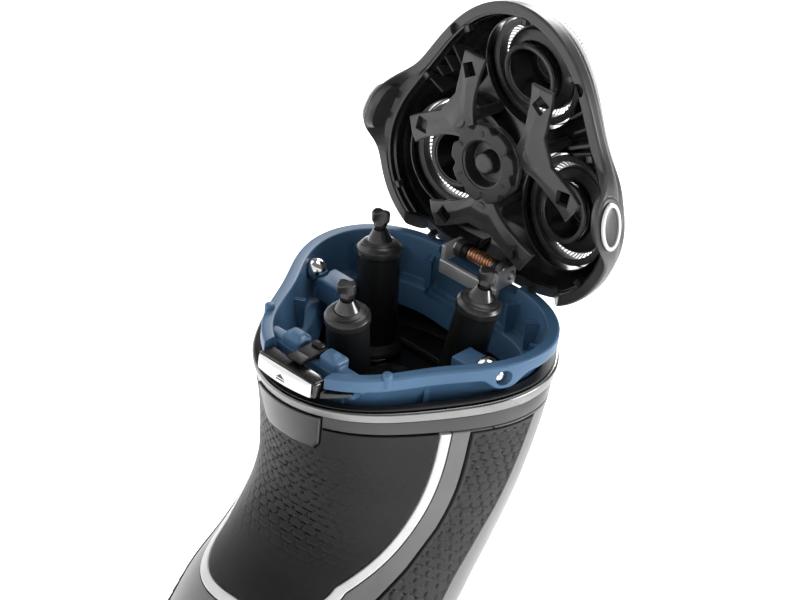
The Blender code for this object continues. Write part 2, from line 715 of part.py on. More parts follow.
def build_deck(chamber, finish):
    """The black tray below the chamber that carries the drive towers."""
    def handle_ring(distance, offset):
        return [to_chamber(point) for point in skin_ring(distance, offset)]

    def floor_ring(inset, height):
        shape = (0.2, 22.2, 1.6, 0.2)
        return outline_ring(shape, inset, height, TURN)

    rings = [floor_ring(18.0, DECK_Z - DECK_THICK), floor_ring(0.6, DECK_Z - DECK_THICK),
             handle_ring(11.6, -2.6), handle_ring(BAND_LOW - GAP, -2.6),
             handle_ring(BAND_LOW - 2 * GAP, -LINER), handle_ring(RING_TOP - GAP, -LINER),
             handle_ring(RING_TOP - GAP, -0.5), handle_ring(LIP_TOP, -0.6),
             handle_ring(LIP_TOP, -2.4), handle_ring(4.4, -2.6),
             handle_ring(5.4, -3.5), handle_ring(10.8, -3.5), floor_ring(1.6, DECK_Z),
             floor_ring(18.0, DECK_Z)]
    return make_object("drive_deck", loft(rings), finish["black"], chamber)


def build_pivots(chamber, finish):
    """Bearing cups on the deck and the ball-ended pins that the chamber rocks on."""
    for side, word in ((1.0, "right"), (-1.0, "left")):
        post = make_object("pivot_cup_" + word, side_box(side, (13.8, -1.4, -21.2), (16.0, 3.6, -11.0)),
                           finish["blue"], chamber)
        join(post, make_object("cup_" + word, side_box(side, (13.8, -1.4, -11.6), (19.3, 3.6, -7.2)),
                               finish["blue"], chamber))
        place = (side * PIN_BALL_X, PIVOT.y, PIVOT.z)
        cut(post, make_object("cut_ball_" + word, ball(2.5, place, 12), finish["black"], chamber))
        pin = make_object("pivot_pin_" + word, ball(2.1, place, 12), finish["steel"], chamber, PIVOT)
        reach = sorted((side * (PIN_BALL_X - 0.5), side * PIN_END_X))
        shank = disc(PIN_SHANK, *reach, 10, "X", PIVOT)
        join(pin, make_object("shank_" + word, shank, finish["steel"], chamber))


def side_box(side, low, high):
    """A bevelled block given for the right side, mirrored when side is -1."""
    xs = sorted((side * low[0], side * high[0]))
    return box((xs[0], low[1], low[2]), (xs[1], high[1], high[2]), 0.5)


# ---------------------------------------------------------------- chamber
def build_chamber(chamber, finish):
    """The blue hair chamber: a rim, a stepped wall, pivot ears and latch posts."""
    rings = [outline_ring(CHAMBER_OUTLINE, *point, 10.0) for point in CHAMBER_PROFILE]
    body = make_object("hair_chamber", loft(rings, looped=True), finish["blue"], chamber, PIVOT)
    blue = finish["blue"]
    for side, word in ((1.0, "right"), (-1.0, "left")):
        join(body, make_object("ear_" + word, ear_lobe(side), blue, chamber))
        bore = disc(1.5, side * 20.0, side * 26.0, 16, "X", (0.0, PIVOT.y, PIVOT.z))
        cut(body, make_object("cut_bore_" + word, bore, blue, chamber))
        seat = ball(2.45, (side * PIN_BALL_X, PIVOT.y, PIVOT.z), 12)
        cut(body, make_object("cut_seat_" + word, seat, blue, chamber))
    ledge = make_object("ledge", box((-9.3, 16.1, -13.3), (9.3, 20.4, -9.05)), blue, chamber)
    join(body, ledge)
    notch = make_object("cut_hinge", box((-9.4, 17.0, -5.7), (9.4, 30.0, 0.0)), blue, chamber)
    cut(body, notch)
    front = make_object("cut_button_bay", box((-7.2, -32.0, -9.4), (7.2, -23.9, 0.0)), blue, chamber)
    cut(body, front)
    web = make_object("web", box((-8.6, -23.2, -12.1), (8.6, -21.6, -5.6), 0.4), blue, chamber)
    join(body, web)
    for side, word in ((1.0, "right"), (-1.0, "left")):
        post = side_box(side, (2.3, -23.1, -9.0), (6.6, -19.6, -2.9))
        join(body, make_object("latch_post_" + word, post, blue, chamber))
        nub = disc(0.9, -6.0, -3.4, 10, "Z", (side * NUB_PLACE[0], NUB_PLACE[1], 0.0), 0.3)
        join(body, make_object("nub_" + word, nub, blue, chamber))
    return body


def ear_lobe(side):
    """The flared lobe that hangs from the rim round a pivot pin."""
    def grid(inset):
        rows = []
        for share in (0.0, 1.0):
            row = []
            for k in range(13):
                angle = 90.4 + 14.0 * (k - 6) / 6.0
                low = -6.8 - 2.3 * exp(-(((k - 6) / 2.9) ** 4))
                row.append(Vector((*outline(CHAMBER_OUTLINE, inset, side * angle),
                                   -5.8 + (low + 5.8) * share)))
            rows.append(row)
        return rows

    return slab(grid(0.05), grid(2.4))


def build_release(chamber, finish):
    """The sliding release button, its pale face and the latch catch behind it."""
    low_z, high_z = -8.6, -5.5
    rest = (0.0, -26.5, -7.0)
    body = make_object("release_button", box((-6.8, -28.3, low_z), (6.8, -25.0, high_z), 0.4),
                       finish["black"], chamber, rest)
    outer, inner = [], []
    for z, tuck in ((-8.2, 0.15), (-7.8, 0.0), (-5.9, 0.0), (-5.5, 0.15)):
        xs = [-6.2 + 12.4 * k / 8 for k in range(9)]
        outer.append([(x, -29.8 + tuck + 0.018 * x * x, z) for x in xs])
        inner.append([(x, -28.7, z) for x in xs])
    make_object("button_face", slab(outer, inner), finish["white"], chamber, rest)
    catch = make_object("latch_catch", box((-1.8, -24.6, -5.1), (1.8, -19.8, -4.1), 0.3),
                        finish["black"], chamber, rest)
    join(catch, make_object("catch_stem", box((-1.6, -26.6, -5.0), (1.6, -24.0, -4.2)),
                            finish["black"], chamber))
    return body


def build_hinge(chamber, finish):
    """A U-shaped steel bracket on the chamber, the pin and its coiled spring."""
    bracket = make_object("hinge_bracket", box((-6.9, 17.9, -8.6), (6.9, 18.9, -4.9)), finish["steel"],
                          chamber)
    for side, word in ((1.0, "right"), (-1.0, "left")):
        xs = sorted((side * 6.0, side * 6.9))
        leg = make_object("leg_" + word, box((xs[0], 18.1, -5.3), (xs[1], 23.2, -1.7)),
                          finish["steel"], chamber)
        join(bracket, leg)
    cut(bracket, make_object("cut_hinge_pin", disc(PIN_RADIUS + GAP, -9.0, 9.0, 16, "X", HINGE),
                             finish["steel"], chamber))
    pin = disc(PIN_RADIUS, -7.7, 7.7, 16, "X", HINGE)
    make_object("hinge_pin", pin, finish["steel"], chamber, HINGE)
    spring = helix(1.1, 0.2, 9, 6.0, 7, 4, "X", HINGE + Vector((-3.0, 0.0, 0.0)))
    make_object("hinge_spring", spring, finish["copper"], chamber, HINGE)


# ---------------------------------------------------------------- head
def head_ring(inset, height, swollen=False):
    """A ring of the head outline, in the head frame; its corners grow with height."""
    centre, radius, corner, long = HEAD_OUTLINE
    shape = (centre - HINGE.y, radius, corner + HEAD_LOBE * max(height, 0.0), long)
    ring = []
    for angle in between(-180.0, 180.0, 10.0)[:-1]:
        swell = ear_swell(angle, height) if swollen else 0.0
        ring.append(Vector((*outline(shape, inset - swell, angle), height)))
    return ring


def ear_swell(angle, height):
    """How far the cover's wall swells towards each ear; it grows slowly from the front."""
    away = abs(angle) - SWELL_ANGLE
    spread = SWELL_FRONT if away < 0.0 else SWELL_REAR
    fade = 1.0 - min(max(height / SWELL_HEIGHT, 0.0), 1.0)
    return SWELL * exp(-((away / spread) ** 2)) * fade


def build_head_cover(head, finish):
    """The rounded cover with three guard openings, side ears and hinge lugs."""
    grey = finish["head_grey"]
    cover = make_object("head_cover", closed_cover([head_ring(*point, True) for point in COVER_OUTER],
                                                   [head_ring(*point) for point in COVER_INNER]),
                        grey, head)
    notch = box((-18.5, -1.5, -3.0), (18.5, 9.0, 2.3))
    cut(cover, make_object("cut_rear", notch, grey, head))
    for word in TOWER_ANGLES:
        hole = disc(GUARD_RADIUS + 0.4, 2.2, 14.0, 22)
        axis = bpy.data.objects["cutter_%s_axis" % word]
        cut(cover, make_object("cut_guard_" + word, hole, grey, axis))
    for side, word in ((1.0, "right"), (-1.0, "left")):
        join(cover, make_object("ear_pad_" + word, ear_mesh(side), grey, head))
        pocket = disc(1.25, -3.0, 0.3, 10, "Z", (side * NUB_PLACE[0], NUB_PLACE[1] - HINGE.y, 0.0))
        cut(cover, make_object("cut_nub_" + word, pocket, grey, head))
        xs = sorted((side * 4.2, side * 5.6))
        lug = make_object("lug_" + word, disc(1.75, xs[0], xs[1], 14, "X"), grey, head)
        join(cover, lug)
        arm = box((xs[0] + 0.15, -1.1, 0.9), (xs[1] - 0.15, 1.0, 4.4))
        join(cover, make_object("arm_" + word, arm, grey, head))
    cut(cover, make_object("cut_lug", disc(PIN_RADIUS + GAP, -9.0, 9.0, 16, "X"), grey, head))
    return cover


def closed_cover(outer_rings, inner_rings):
    """A cup-shaped skin: outer rings up to a top cap, then inner rings back to the rim."""
    rings = outer_rings + inner_rings
    bm = bmesh.new()
    rows = [[bm.verts.new(point) for point in ring] for ring in rings]
    caps = (len(outer_rings) - 1, len(outer_rings))
    pairs = [(k, (k + 1) % len(rows)) for k in range(len(rows)) if k != caps[0]]
    for first, second in pairs:
        for i in range(len(rows[0])):
            j = (i + 1) % len(rows[0])
            bm.faces.new((rows[first][i], rows[first][j], rows[second][j], rows[second][i]))
    for cap in caps:
        bm.faces.new(rows[cap])
    return bm


def oval(side, depth, half_y, half_n, rise=1.0):
    """A ring round an ear's centre in the head frame, slanted to follow the wall."""
    ring = []
    for k in range(20):
        across = half_y * cos(2 * pi * k / 20)
        up = half_n * sin(2 * pi * k / 20)
        ring.append((side * (depth + EAR_SLANT * across), EAR_CENTRE[0] - HINGE.y + across,
                     EAR_CENTRE[1] + up * (rise if up > 0 else 1.0)))
    return ring


def ear_mesh(side):
    """A rounded pad that hangs below the rim and carries the badge."""
    sizes = ((25.6, 4.5, 2.5), (26.8, 5.0, 3.1), (27.4, 4.9, 3.0), (27.7, 4.5, 2.8))
    return loft([oval(side, *size, 1.35) for size in sizes])


def build_badges(head, finish):
    """Plain oval badges on the ears."""
    for side, word in ((1.0, "right"), (-1.0, "left")):
        sizes = ((28.0, 4.2, 2.6), (28.3, 4.2, 2.6), (28.5, 3.9, 2.3))
        rings = [oval(side, *size) for size in sizes]
        make_object("badge_" + word, loft(rings), finish["silver"], head)


def build_cutters(head, finish):
    """Three guards and the cutters that spin under them, on splayed axes."""
    centre = Vector((0.0, CUTTER_CENTRE_Y - HINGE.y, -HINGE.z))
    for word, angle in TOWER_ANGLES.items():
        axis = splayed_frame("cutter_" + word, angle, CUTTER_RADIUS, centre, head)
        pivot = (0.0, 0.0, GUARD_PIVOT)
        make_object("guard_" + word, turned(GUARD_PROFILE, 20, looped=True), finish["steel"], axis, pivot)
        make_object("cutter_" + word, turned(CUTTER_PROFILE, 16, looped=True), finish["frame_grey"], axis, pivot)


def build_retainer(head, finish):
    """The retaining frame: three bent plates on a central ring, with posts and square holes."""
    centre = Vector((0.0, FRAME_CENTRE_Y - HINGE.y, 0.0))
    low, high = FRAME_LOW, FRAME_LOW + FRAME_THICK
    grey = finish["frame_grey"]
    inside, outside = FRAME_RING
    ring = turned([(inside, low), (outside, low), (outside, high), (inside, high)], 24, "Z", centre, True)
    body = make_object("retaining_frame", ring, grey, head)
    arm = PLATE_HALF + tuple((reach, -turn) for reach, turn in reversed(PLATE_HALF))
    for angle, word in ((-30.0, "right"), (90.0, "rear"), (210.0, "left")):
        points = [deck_xy(angle + turn, reach, centre.y) for reach, turn in arm]
        plate = prism(points, low + 0.1, high + 0.1)
        join(body, make_object("arm_plate_" + word, plate, grey, head))
        for turn in (-SQUARE_TURN, SQUARE_TURN):
            x, y = deck_xy(angle + turn, SQUARE_RADIUS, centre.y)
            hole = box((x - SQUARE_HALF, y - SQUARE_HALF, low - 2.0),
                       (x + SQUARE_HALF, y + SQUARE_HALF, high + 2.0))
            cut(body, make_object("cut_square_%s_%d" % (word, turn), hole, grey, head))
        x, y = deck_xy(angle, 9.4, centre.y)
        post = disc(1.0, high - 0.4, 7.9, 10, "Z", (x, y, 0.0))
        join(body, make_object("post_" + word, post, grey, head))
    return body


def build_lock_wheel(head, finish):
    """The scalloped wheel that locks the retaining frame."""
    centre = Vector((0.0, FRAME_CENTRE_Y - HINGE.y, 0.0))
    grey = finish["frame_grey"]
    top = FRAME_LOW - 0.4
    steps = WHEEL_SCALLOPS * 4
    rings = []
    for scale, height in ((1.0, top), (1.0, top - 1.1), (0.94, top - 1.5)):
        ring = []
        for k in range(steps):
            turn = 2 * pi * k / steps
            notch = WHEEL_NOTCH * max(0.0, cos(WHEEL_SCALLOPS * turn)) ** 2
            reach = (WHEEL_RADIUS - notch) * scale
            ring.append((reach * cos(turn), centre.y + reach * sin(turn), height))
        rings.append(ring)
    wheel = make_object("lock_wheel", loft(rings), grey, head, centre)
    hollow = disc(4.4, top - 3.0, top - 0.8, 20, at=centre)
    cut(wheel, make_object("cut_wheel", hollow, grey, head))
    join(wheel, make_object("wheel_boss", disc(2.1, top - 1.3, top + 3.4, 16, at=centre), grey, head))


# ---------------------------------------------------------------- assembly
def build_shaver():
    """Build every piece of the shaver."""
    for item in list(bpy.data.objects):
        bpy.data.objects.remove(item)
    finish = all_materials()
    chamber = frame("chamber_frame", CHAMBER_ORIGIN, NECK_LEAN)
    head = frame("head_frame", HINGE, -OPEN_ANGLE, chamber)
    front = build_handle_shell(finish)
    band = build_collar(finish)
    build_front_plate(front, bpy.data.objects["front_panel"], band, finish)
    build_base(finish)
    build_insides(chamber, finish)
    deck = build_deck(chamber, finish)
    build_towers(chamber, deck, finish)
    build_gearbox(chamber, finish)
    build_pivots(chamber, finish)
    build_chamber(chamber, finish)
    build_release(chamber, finish)
    build_hinge(chamber, finish)
    build_cutters(head, finish)
    build_head_cover(head, finish)
    build_badges(head, finish)
    build_retainer(head, finish)
    build_lock_wheel(head, finish)


build_shaver()
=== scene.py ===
"""Looks for a rotary electric shaver that stands upright with its head flipped open.

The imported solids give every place: joint axes fix the chamber, head, tower and cutter
frames. Shapes are written in millimetres inside those frames and placed in metres.
"""

import json
from math import cos, pi, radians, sin

import bmesh
import bpy
import numpy as np
from mathutils import Matrix, Vector


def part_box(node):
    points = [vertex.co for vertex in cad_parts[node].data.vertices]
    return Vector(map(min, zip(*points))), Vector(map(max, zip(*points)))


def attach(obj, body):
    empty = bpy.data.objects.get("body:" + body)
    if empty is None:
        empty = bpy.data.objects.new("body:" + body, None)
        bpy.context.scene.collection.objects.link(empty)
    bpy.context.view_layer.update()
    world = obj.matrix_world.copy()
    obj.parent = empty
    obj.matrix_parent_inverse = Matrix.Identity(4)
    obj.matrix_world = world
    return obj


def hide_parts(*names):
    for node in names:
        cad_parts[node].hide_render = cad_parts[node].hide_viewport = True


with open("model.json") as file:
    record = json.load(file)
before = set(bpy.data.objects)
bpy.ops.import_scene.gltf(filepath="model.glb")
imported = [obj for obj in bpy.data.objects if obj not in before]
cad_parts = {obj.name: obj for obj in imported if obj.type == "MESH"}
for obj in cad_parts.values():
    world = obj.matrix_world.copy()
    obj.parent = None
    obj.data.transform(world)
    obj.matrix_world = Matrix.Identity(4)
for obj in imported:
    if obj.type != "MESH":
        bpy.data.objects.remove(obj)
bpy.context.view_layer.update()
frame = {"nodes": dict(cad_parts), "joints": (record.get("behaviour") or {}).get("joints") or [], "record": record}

MM = 0.001
JOINTS = {joint["name"]: joint for joint in frame["joints"]}
TOWERS = ("front", "left", "right")
HOOK_TURNS = {"front": -77.0, "left": 43.0, "right": -17.0}

# Handle: distance down the spine, spine y, spine z, lean, half width, half depth, corner bulge
STATIONS = np.array((
    (0.0, -10.6, 132.2, 32.0, 26.3, 27.6, 0.080),
    (8.0, -6.4, 125.4, 29.5, 25.7, 25.7, 0.085),
    (16.0, -2.6, 118.3, 25.5, 25.2, 24.0, 0.075),
    (24.0, 0.5, 111.0, 19.5, 24.4, 22.5, 0.068),
    (32.0, 2.7, 103.3, 12.0, 23.2, 21.2, 0.070),
    (40.0, 3.8, 95.4, 4.0, 22.5, 20.8, 0.062),
    (50.0, 3.7, 85.4, -3.0, 22.7, 22.0, 0.045),
    (62.0, 2.4, 73.5, -6.5, 23.6, 24.0, 0.030),
    (80.0, 0.8, 55.5, -4.0, 23.4, 22.6, 0.015),
    (105.0, 0.0, 30.5, 0.0, 21.4, 19.4, 0.0),
    (128.0, 0.0, 7.5, 0.0, 19.8, 17.4, 0.0),
    (135.5, 0.0, 0.0, 0.0, 18.9, 16.5, 0.0),
))
BASE_AT = 135.5
CAP_AT = 128.0
WALL = 2.2
SHELL_TUCK = 0.1
POCKET = 1.6
TOOL_OUT = 3.0
PANEL_THICK = 1.1
SEAM = 86.0
HOUSING_TOP = 6.9
PANEL_TOP = 7.0
PANEL_BEND = 49.0
PANEL_END = 60.0
PANEL_SQUARE = 0.75
PANEL_STRAIGHT = 0.72
PANEL_RELIEF = 0.42
TRIM_GAP = 0.35
TRIM_WIDTH = 2.1
GRIP_TOP = 7.4
GRIP_END = 104.0
GRIP_EDGES = np.array((
    (0.0, 78.0, 108.0),
    (20.0, 75.0, 101.5),
    (30.0, 72.5, 98.0),
    (40.0, 66.5, 95.5),
    (50.0, 57.0, 95.2),
    (58.0, 50.5, 95.4),
    (67.0, 46.5, 95.4),
    (78.0, 47.5, 94.5),
    (90.0, 56.0, 91.5),
    (100.0, 68.0, 86.0),
    (105.0, 75.0, 80.0),
))
GRIP_RELIEF = 0.62
SCALE_GROWTH = 0.0085
SCALE_HEIGHT = 1.55
SCALE_WIDTH = 2.0
LIP_TOP = 0.4
RING_TOP = 1.1
RING_LOW = 3.2
BAND_TOP = 3.5
BAND_LOW = 6.6
BUTTON_AT = 82.0
BUTTON_RADIUS = 5.6
LIGHT_DROP = 12.0
PLATE_TOP = 3.6
PLATE_LONG = 9.5
INLET_WALL = 1.2
GAP = 0.3

# Chamber and head outlines: centre y, radius, corner bulge, front-to-back bulge
CHAMBER_OUTLINE = (0.4, 25.3, 3.2, 0.4)
HEAD_OUTLINE = (1.2, 26.7, 2.7, 0.2)
HEAD_LOBE = 0.10
RIM_Z = -4.4
RIM_N = -0.9
DECK_Z = -21.6
HINGE_Y = 21.7
HINGE_Z = -3.2
HINGE_AT = (0.0, HINGE_Y, HINGE_Z)
HINGE_BORE = 0.95
PIVOT_X, PIVOT_Y, PIVOT_Z = 20.8, 0.2, -6.9
PIVOT_END = 24.35
PEG_X, PEG_Y = 14.2, -18.4
FRAME_CENTRE_Y = 1.0
FRAME_LOW = -3.4
SQUARE_RADIUS = 16.7
SQUARE_TURN = 28.0

# Finishes: coat, depth of the bump in metres, and the part of the noise that is used
COAT_ROUGHNESS = 0.12
BUMP_DEPTH = 0.0001
NOISE_LOW, NOISE_HIGH = 0.3, 0.7

# Studio: name, place, size, power and whether the light points at the backdrop
LIGHTS = (
    ("key", (0.80, 0.40, 0.55), 0.45, 10.0, False),
    ("fill", (-0.70, -0.45, 0.60), 0.6, 1.5, False),
    ("top", (0.0, -0.10, 1.1), 0.7, 4.5, False),
    ("back", (-0.5, 0.8, 0.5), 0.6, 3.0, False),
    ("sweep", (-0.9, 1.2, 1.9), 1.2, 70.0, True),
)
LIGHT_AIM = Vector((0.0, 0.0, 0.14))
BACKDROP = Vector((-0.9, 1.5, 0.0))
WHITE = (1.0, 1.0, 1.0, 1.0)
PAPER_GLOW = 0.20
SKY_STRENGTH = 0.20
CAMERA_LENS = 138.66
CAMERA_PLACE = Matrix((
    (0.7277894, -0.4184396, 0.5433516, 0.2948162),
    (0.5302621, -0.1590908, -0.8327739, -0.4664543),
    (0.4349078, 0.8942027, 0.1060980, 0.1948769),
    (0.0, 0.0, 0.0, 1.0),
))


# ---------------------------------------------------------------- frames
def frame_from(origin, z_axis, x_axis):
    """A matrix with its origin in metres and its Z and X along the given directions."""
    z = Vector(z_axis).normalized()
    x = (Vector(x_axis) - Vector(x_axis).dot(z) * z).normalized()
    y = z.cross(x)
    turn = Matrix((x, y, z)).transposed().to_4x4()
    return Matrix.Translation(origin) @ turn


def joint_frame(name, x_axis, back):
    """A frame on a joint's axis, moved back along it by a distance in millimetres."""
    joint = JOINTS[name]
    axis = Vector(joint["axis"]).normalized()
    return frame_from(Vector(joint["pos_m"]) + axis * back * MM, axis, x_axis)


RIGHT = Vector((1.0, 0.0, 0.0))
HANDLE = Matrix.Identity(4)
CHAMBER = joint_frame("pinion_spin", RIGHT, 26.0)
HEAD = frame_from(Vector(JOINTS["head_close"]["pos_m"]), JOINTS["wheel_turn"]["axis"], RIGHT)
CUTTER = {}
TOWER = {}
for word in TOWERS:
    flex = Vector(JOINTS["guard_flex_" + word]["axis"])
    spin = Vector(JOINTS["cutter_spin_" + word]["axis"])
    CUTTER[word] = joint_frame("cutter_spin_" + word, flex.cross(spin), -4.0)
    axis = Vector(JOINTS["gear_spin_" + word]["axis"])
    outward = axis - CHAMBER.col[2].to_3d()
    TOWER[word] = joint_frame("gear_spin_" + word, outward, 26.0)


# ---------------------------------------------------------------- mesh tools
def rounded(profile, radius, closed=False, steps=4):
    """A polyline with its corners turned into small arcs."""
    points = [np.array(point, float) for point in profile]
    count = len(points)
    result = []
    for i, point in enumerate(points):
        if not closed and i in (0, count - 1):
            result.append(point)
            continue
        before, after = points[i - 1] - point, points[(i + 1) % count] - point
        reach = min(radius, 0.45 * np.linalg.norm(before), 0.45 * np.linalg.norm(after))
        start = point + before / np.linalg.norm(before) * reach
        end = point + after / np.linalg.norm(after) * reach
        for k in range(steps + 1):
            t = k / steps
            result.append((1 - t) ** 2 * start + 2 * t * (1 - t) * point + t**2 * end)
    return np.array(result)


def grid_faces(rows, cols, wrap_rows=False, wrap_cols=False):
    """Quads over a grid of points stored row by row."""
    faces = []
    for i in range(rows if wrap_rows else rows - 1):
        for j in range(cols if wrap_cols else cols - 1):
            a, b = (i + 1) % rows, (j + 1) % cols
            faces.append((i * cols + j, i * cols + b, a * cols + b, a * cols + j))
    return faces


def mesh_from(points, faces):
    """A bmesh from an array of points and a list of faces, with its normals facing out."""
    bm = bmesh.new()
    verts = [bm.verts.new(point) for point in points]
    for face in faces:
        bm.faces.new([verts[k] for k in face])
    bmesh.ops.remove_doubles(bm, verts=bm.verts, dist=1e-5)
    bmesh.ops.recalc_face_normals(bm, faces=bm.faces)
    return bm


def loft(rings, looped=False, capped=True):
    """Skin closed rings; looped joins the last ring to the first."""
    rings = np.array(rings, float)
    rows, cols = rings.shape[:2]
    faces = grid_faces(rows, cols, looped, True)
    if capped and not looped:
        faces.append(tuple(range(cols)))
        faces.append(tuple(range((rows - 1) * cols, rows * cols)))
    return mesh_from(rings.reshape(-1, 3), faces)


def slab(outer, inner):
    """A solid between two grids of points of the same size."""
    outer, inner = np.array(outer, float), np.array(inner, float)
    rows, cols = outer.shape[:2]
    size = rows * cols
    faces = grid_faces(rows, cols)
    faces += [tuple(k + size for k in face) for face in faces]
    edge = [j for j in range(cols)] + [i * cols + cols - 1 for i in range(1, rows)]
    edge += [(rows - 1) * cols + j for j in range(cols - 2, -1, -1)]
    edge += [i * cols for i in range(rows - 2, 0, -1)]
    for k, first in enumerate(edge):
        second = edge[(k + 1) % len(edge)]
        faces.append((first, second, second + size, first + size))
    return mesh_from(np.concatenate((outer.reshape(-1, 3), inner.reshape(-1, 3))), faces)


def turned(profile, segments=64, looped=False, axis="Z", at=(0.0, 0.0, 0.0)):
    """A solid turned about an axis from (radius, height) points."""
    profile = np.array(profile, float)
    angles = np.linspace(0.0, 2.0 * pi, segments, endpoint=False)
    rings = np.zeros((len(profile), segments, 3))
    rings[:, :, 0] = profile[:, :1] * np.cos(angles)
    rings[:, :, 1] = profile[:, :1] * np.sin(angles)
    rings[:, :, 2] = profile[:, 1:]
    bm = loft(rings, looped, capped=not looped and profile[0][0] > 0.0)
    turns = {"Z": Matrix.Identity(4), "X": Matrix.Rotation(pi / 2, 4, "Y"),
             "Y": Matrix.Rotation(-pi / 2, 4, "X")}
    bmesh.ops.transform(bm, matrix=Matrix.Translation(at) @ turns[axis], verts=bm.verts)
    return bm


def lathe(profile, edge, segments=64, looped=False, **where):
    """A turned solid whose profile has rounded corners."""
    return turned(rounded(profile, edge, looped), segments, looped, **where)


def rod(radius, low, high, segments=64, edge=0.0, **where):
    """A turned cylinder between two heights."""
    profile = [(0, low), (radius, low), (radius, high), (0, high)]
    return turned(rounded(profile, edge) if edge else profile, segments, **where)


def box(low, high, bevel=0.0, segments=3):
    """A block between two corners with rounded edges."""
    bm = bmesh.new()
    bmesh.ops.create_cube(bm, size=1.0)
    size = [b - a for a, b in zip(low, high)]
    middle = [(a + b) / 2.0 for a, b in zip(low, high)]
    bmesh.ops.scale(bm, verts=bm.verts, vec=size)
    bmesh.ops.translate(bm, verts=bm.verts, vec=middle)
    if bevel:
        bmesh.ops.bevel(bm, geom=bm.edges[:], offset=bevel, segments=segments, affect="EDGES", profile=0.5)
    return bm


def prism(points, low, high, bevel=0.0):
    """An upright solid from a flat outline, with rounded top and bottom edges."""
    points = np.array(points, float)
    steps = [(0.0, 0.0)]
    if bevel:
        steps = [(bevel * (1 - sin(t)), bevel * (1 - cos(t))) for t in np.linspace(0, pi / 2, 4)]
        steps.reverse()
    normals = outline_normals(points)
    levels = [(tuck, low + rise) for tuck, rise in steps]
    levels += [(tuck, high - rise) for tuck, rise in reversed(steps)]
    rings = []
    for tuck, height in levels:
        flat = points - normals * (bevel - tuck if bevel else 0.0)
        rings.append([(x, y, height) for x, y in flat])
    return loft(rings)


def outline_normals(points):
    """Outward unit normals of a closed flat outline."""
    after = np.roll(points, -1, 0)
    forward = after - np.roll(points, 1, 0)
    normals = np.stack((forward[:, 1], -forward[:, 0]), 1)
    normals /= np.linalg.norm(normals, axis=1, keepdims=True) + 1e-9
    area = np.sum(points[:, 0] * after[:, 1] - after[:, 0] * points[:, 1])
    return normals if area > 0 else -normals


def tube(path, radius, sides=12):
    """A round wire along a path of points."""
    path = np.array(path, float)
    forward = np.gradient(path, axis=0)
    forward /= np.linalg.norm(forward, axis=1, keepdims=True)
    side = np.cross(forward, (0.31, 0.17, 0.93))
    side /= np.linalg.norm(side, axis=1, keepdims=True)
    up = np.cross(side, forward)
    turn = np.linspace(0, 2 * pi, sides, endpoint=False)
    rings = path[:, None] + radius * (np.cos(turn)[None, :, None] * side[:, None]
                                      + np.sin(turn)[None, :, None] * up[:, None])
    return loft(rings)


def merge(*meshes):
    """Several bmeshes gathered into one."""
    whole = bmesh.new()
    for bm in meshes:
        holder = bpy.data.meshes.new("part")
        bm.to_mesh(holder)
        bm.free()
        whole.from_mesh(holder)
        bpy.data.meshes.remove(holder)
    return whole


def as_object(name, bm, place):
    """A bmesh in millimetres, placed by a frame, as an object with metre coordinates."""
    bmesh.ops.transform(bm, matrix=place @ Matrix.Scale(MM, 4), verts=bm.verts)
    mesh = bpy.data.meshes.new(name)
    bm.to_mesh(mesh)
    bm.free()
    made = bpy.data.objects.new(name, mesh)
    bpy.context.scene.collection.objects.link(made)
    return made


def apply_modifiers(target):
    """Replace an object's mesh by the one its modifiers make."""
    depsgraph = bpy.context.evaluated_depsgraph_get()
    mesh = bpy.data.meshes.new_from_object(target.evaluated_get(depsgraph))
    target.modifiers.clear()
    old = target.data
    target.data = mesh
    bpy.data.meshes.remove(old)


def carve(target, tools, operation="DIFFERENCE"):
    """Apply EXACT booleans of each tool to the target, then remove the tools."""
    for tool in tools:
        step = target.modifiers.new("carve", "BOOLEAN")
        step.object = tool
        step.operation = operation
        step.solver = "EXACT"
    apply_modifiers(target)
    for tool in tools:
        holder = tool.data
        bpy.data.objects.remove(tool)
        bpy.data.meshes.remove(holder)


def cut(target, place, *meshes):
    """Take meshes, in the millimetres of a frame, out of a target."""
    carve(target, [as_object("tool", bm, place) for bm in meshes])


def fuse(target, place, *meshes):
    """Join meshes, in the millimetres of a frame, onto a target."""
    carve(target, [as_object("tool", bm, place) for bm in meshes], "UNION")


def soften(target, grain, rounds):
    """Fuse the blocks of an object into one body with melted edges."""
    remesh = target.modifiers.new("fuse", "REMESH")
    remesh.mode = "VOXEL"
    remesh.voxel_size = grain * MM
    relax = target.modifiers.new("melt", "SMOOTH")
    relax.factor = 0.5
    relax.iterations = rounds
    apply_modifiers(target)
    return target


def dress(made, slot, body, replaces=(), finish=None, smooth=32.0):
    """Give a piece its shading, body, finish and the solids that it stands for.

    Without a finish of its own it takes its slot's.
    """
    made.data.materials.clear()
    made.data.materials.append(finish or FINISH[slot])
    made.data.shade_smooth()
    made.data.set_sharp_from_angle(angle=radians(smooth))
    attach(made, body)
    if replaces:
        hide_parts(*replaces)
    return made


def piece(name, bm, place, slot, body, replaces=(), finish=None, smooth=32.0):
    """One finished piece from a bmesh."""
    return dress(as_object(name, bm, place), slot, body, replaces, finish, smooth)


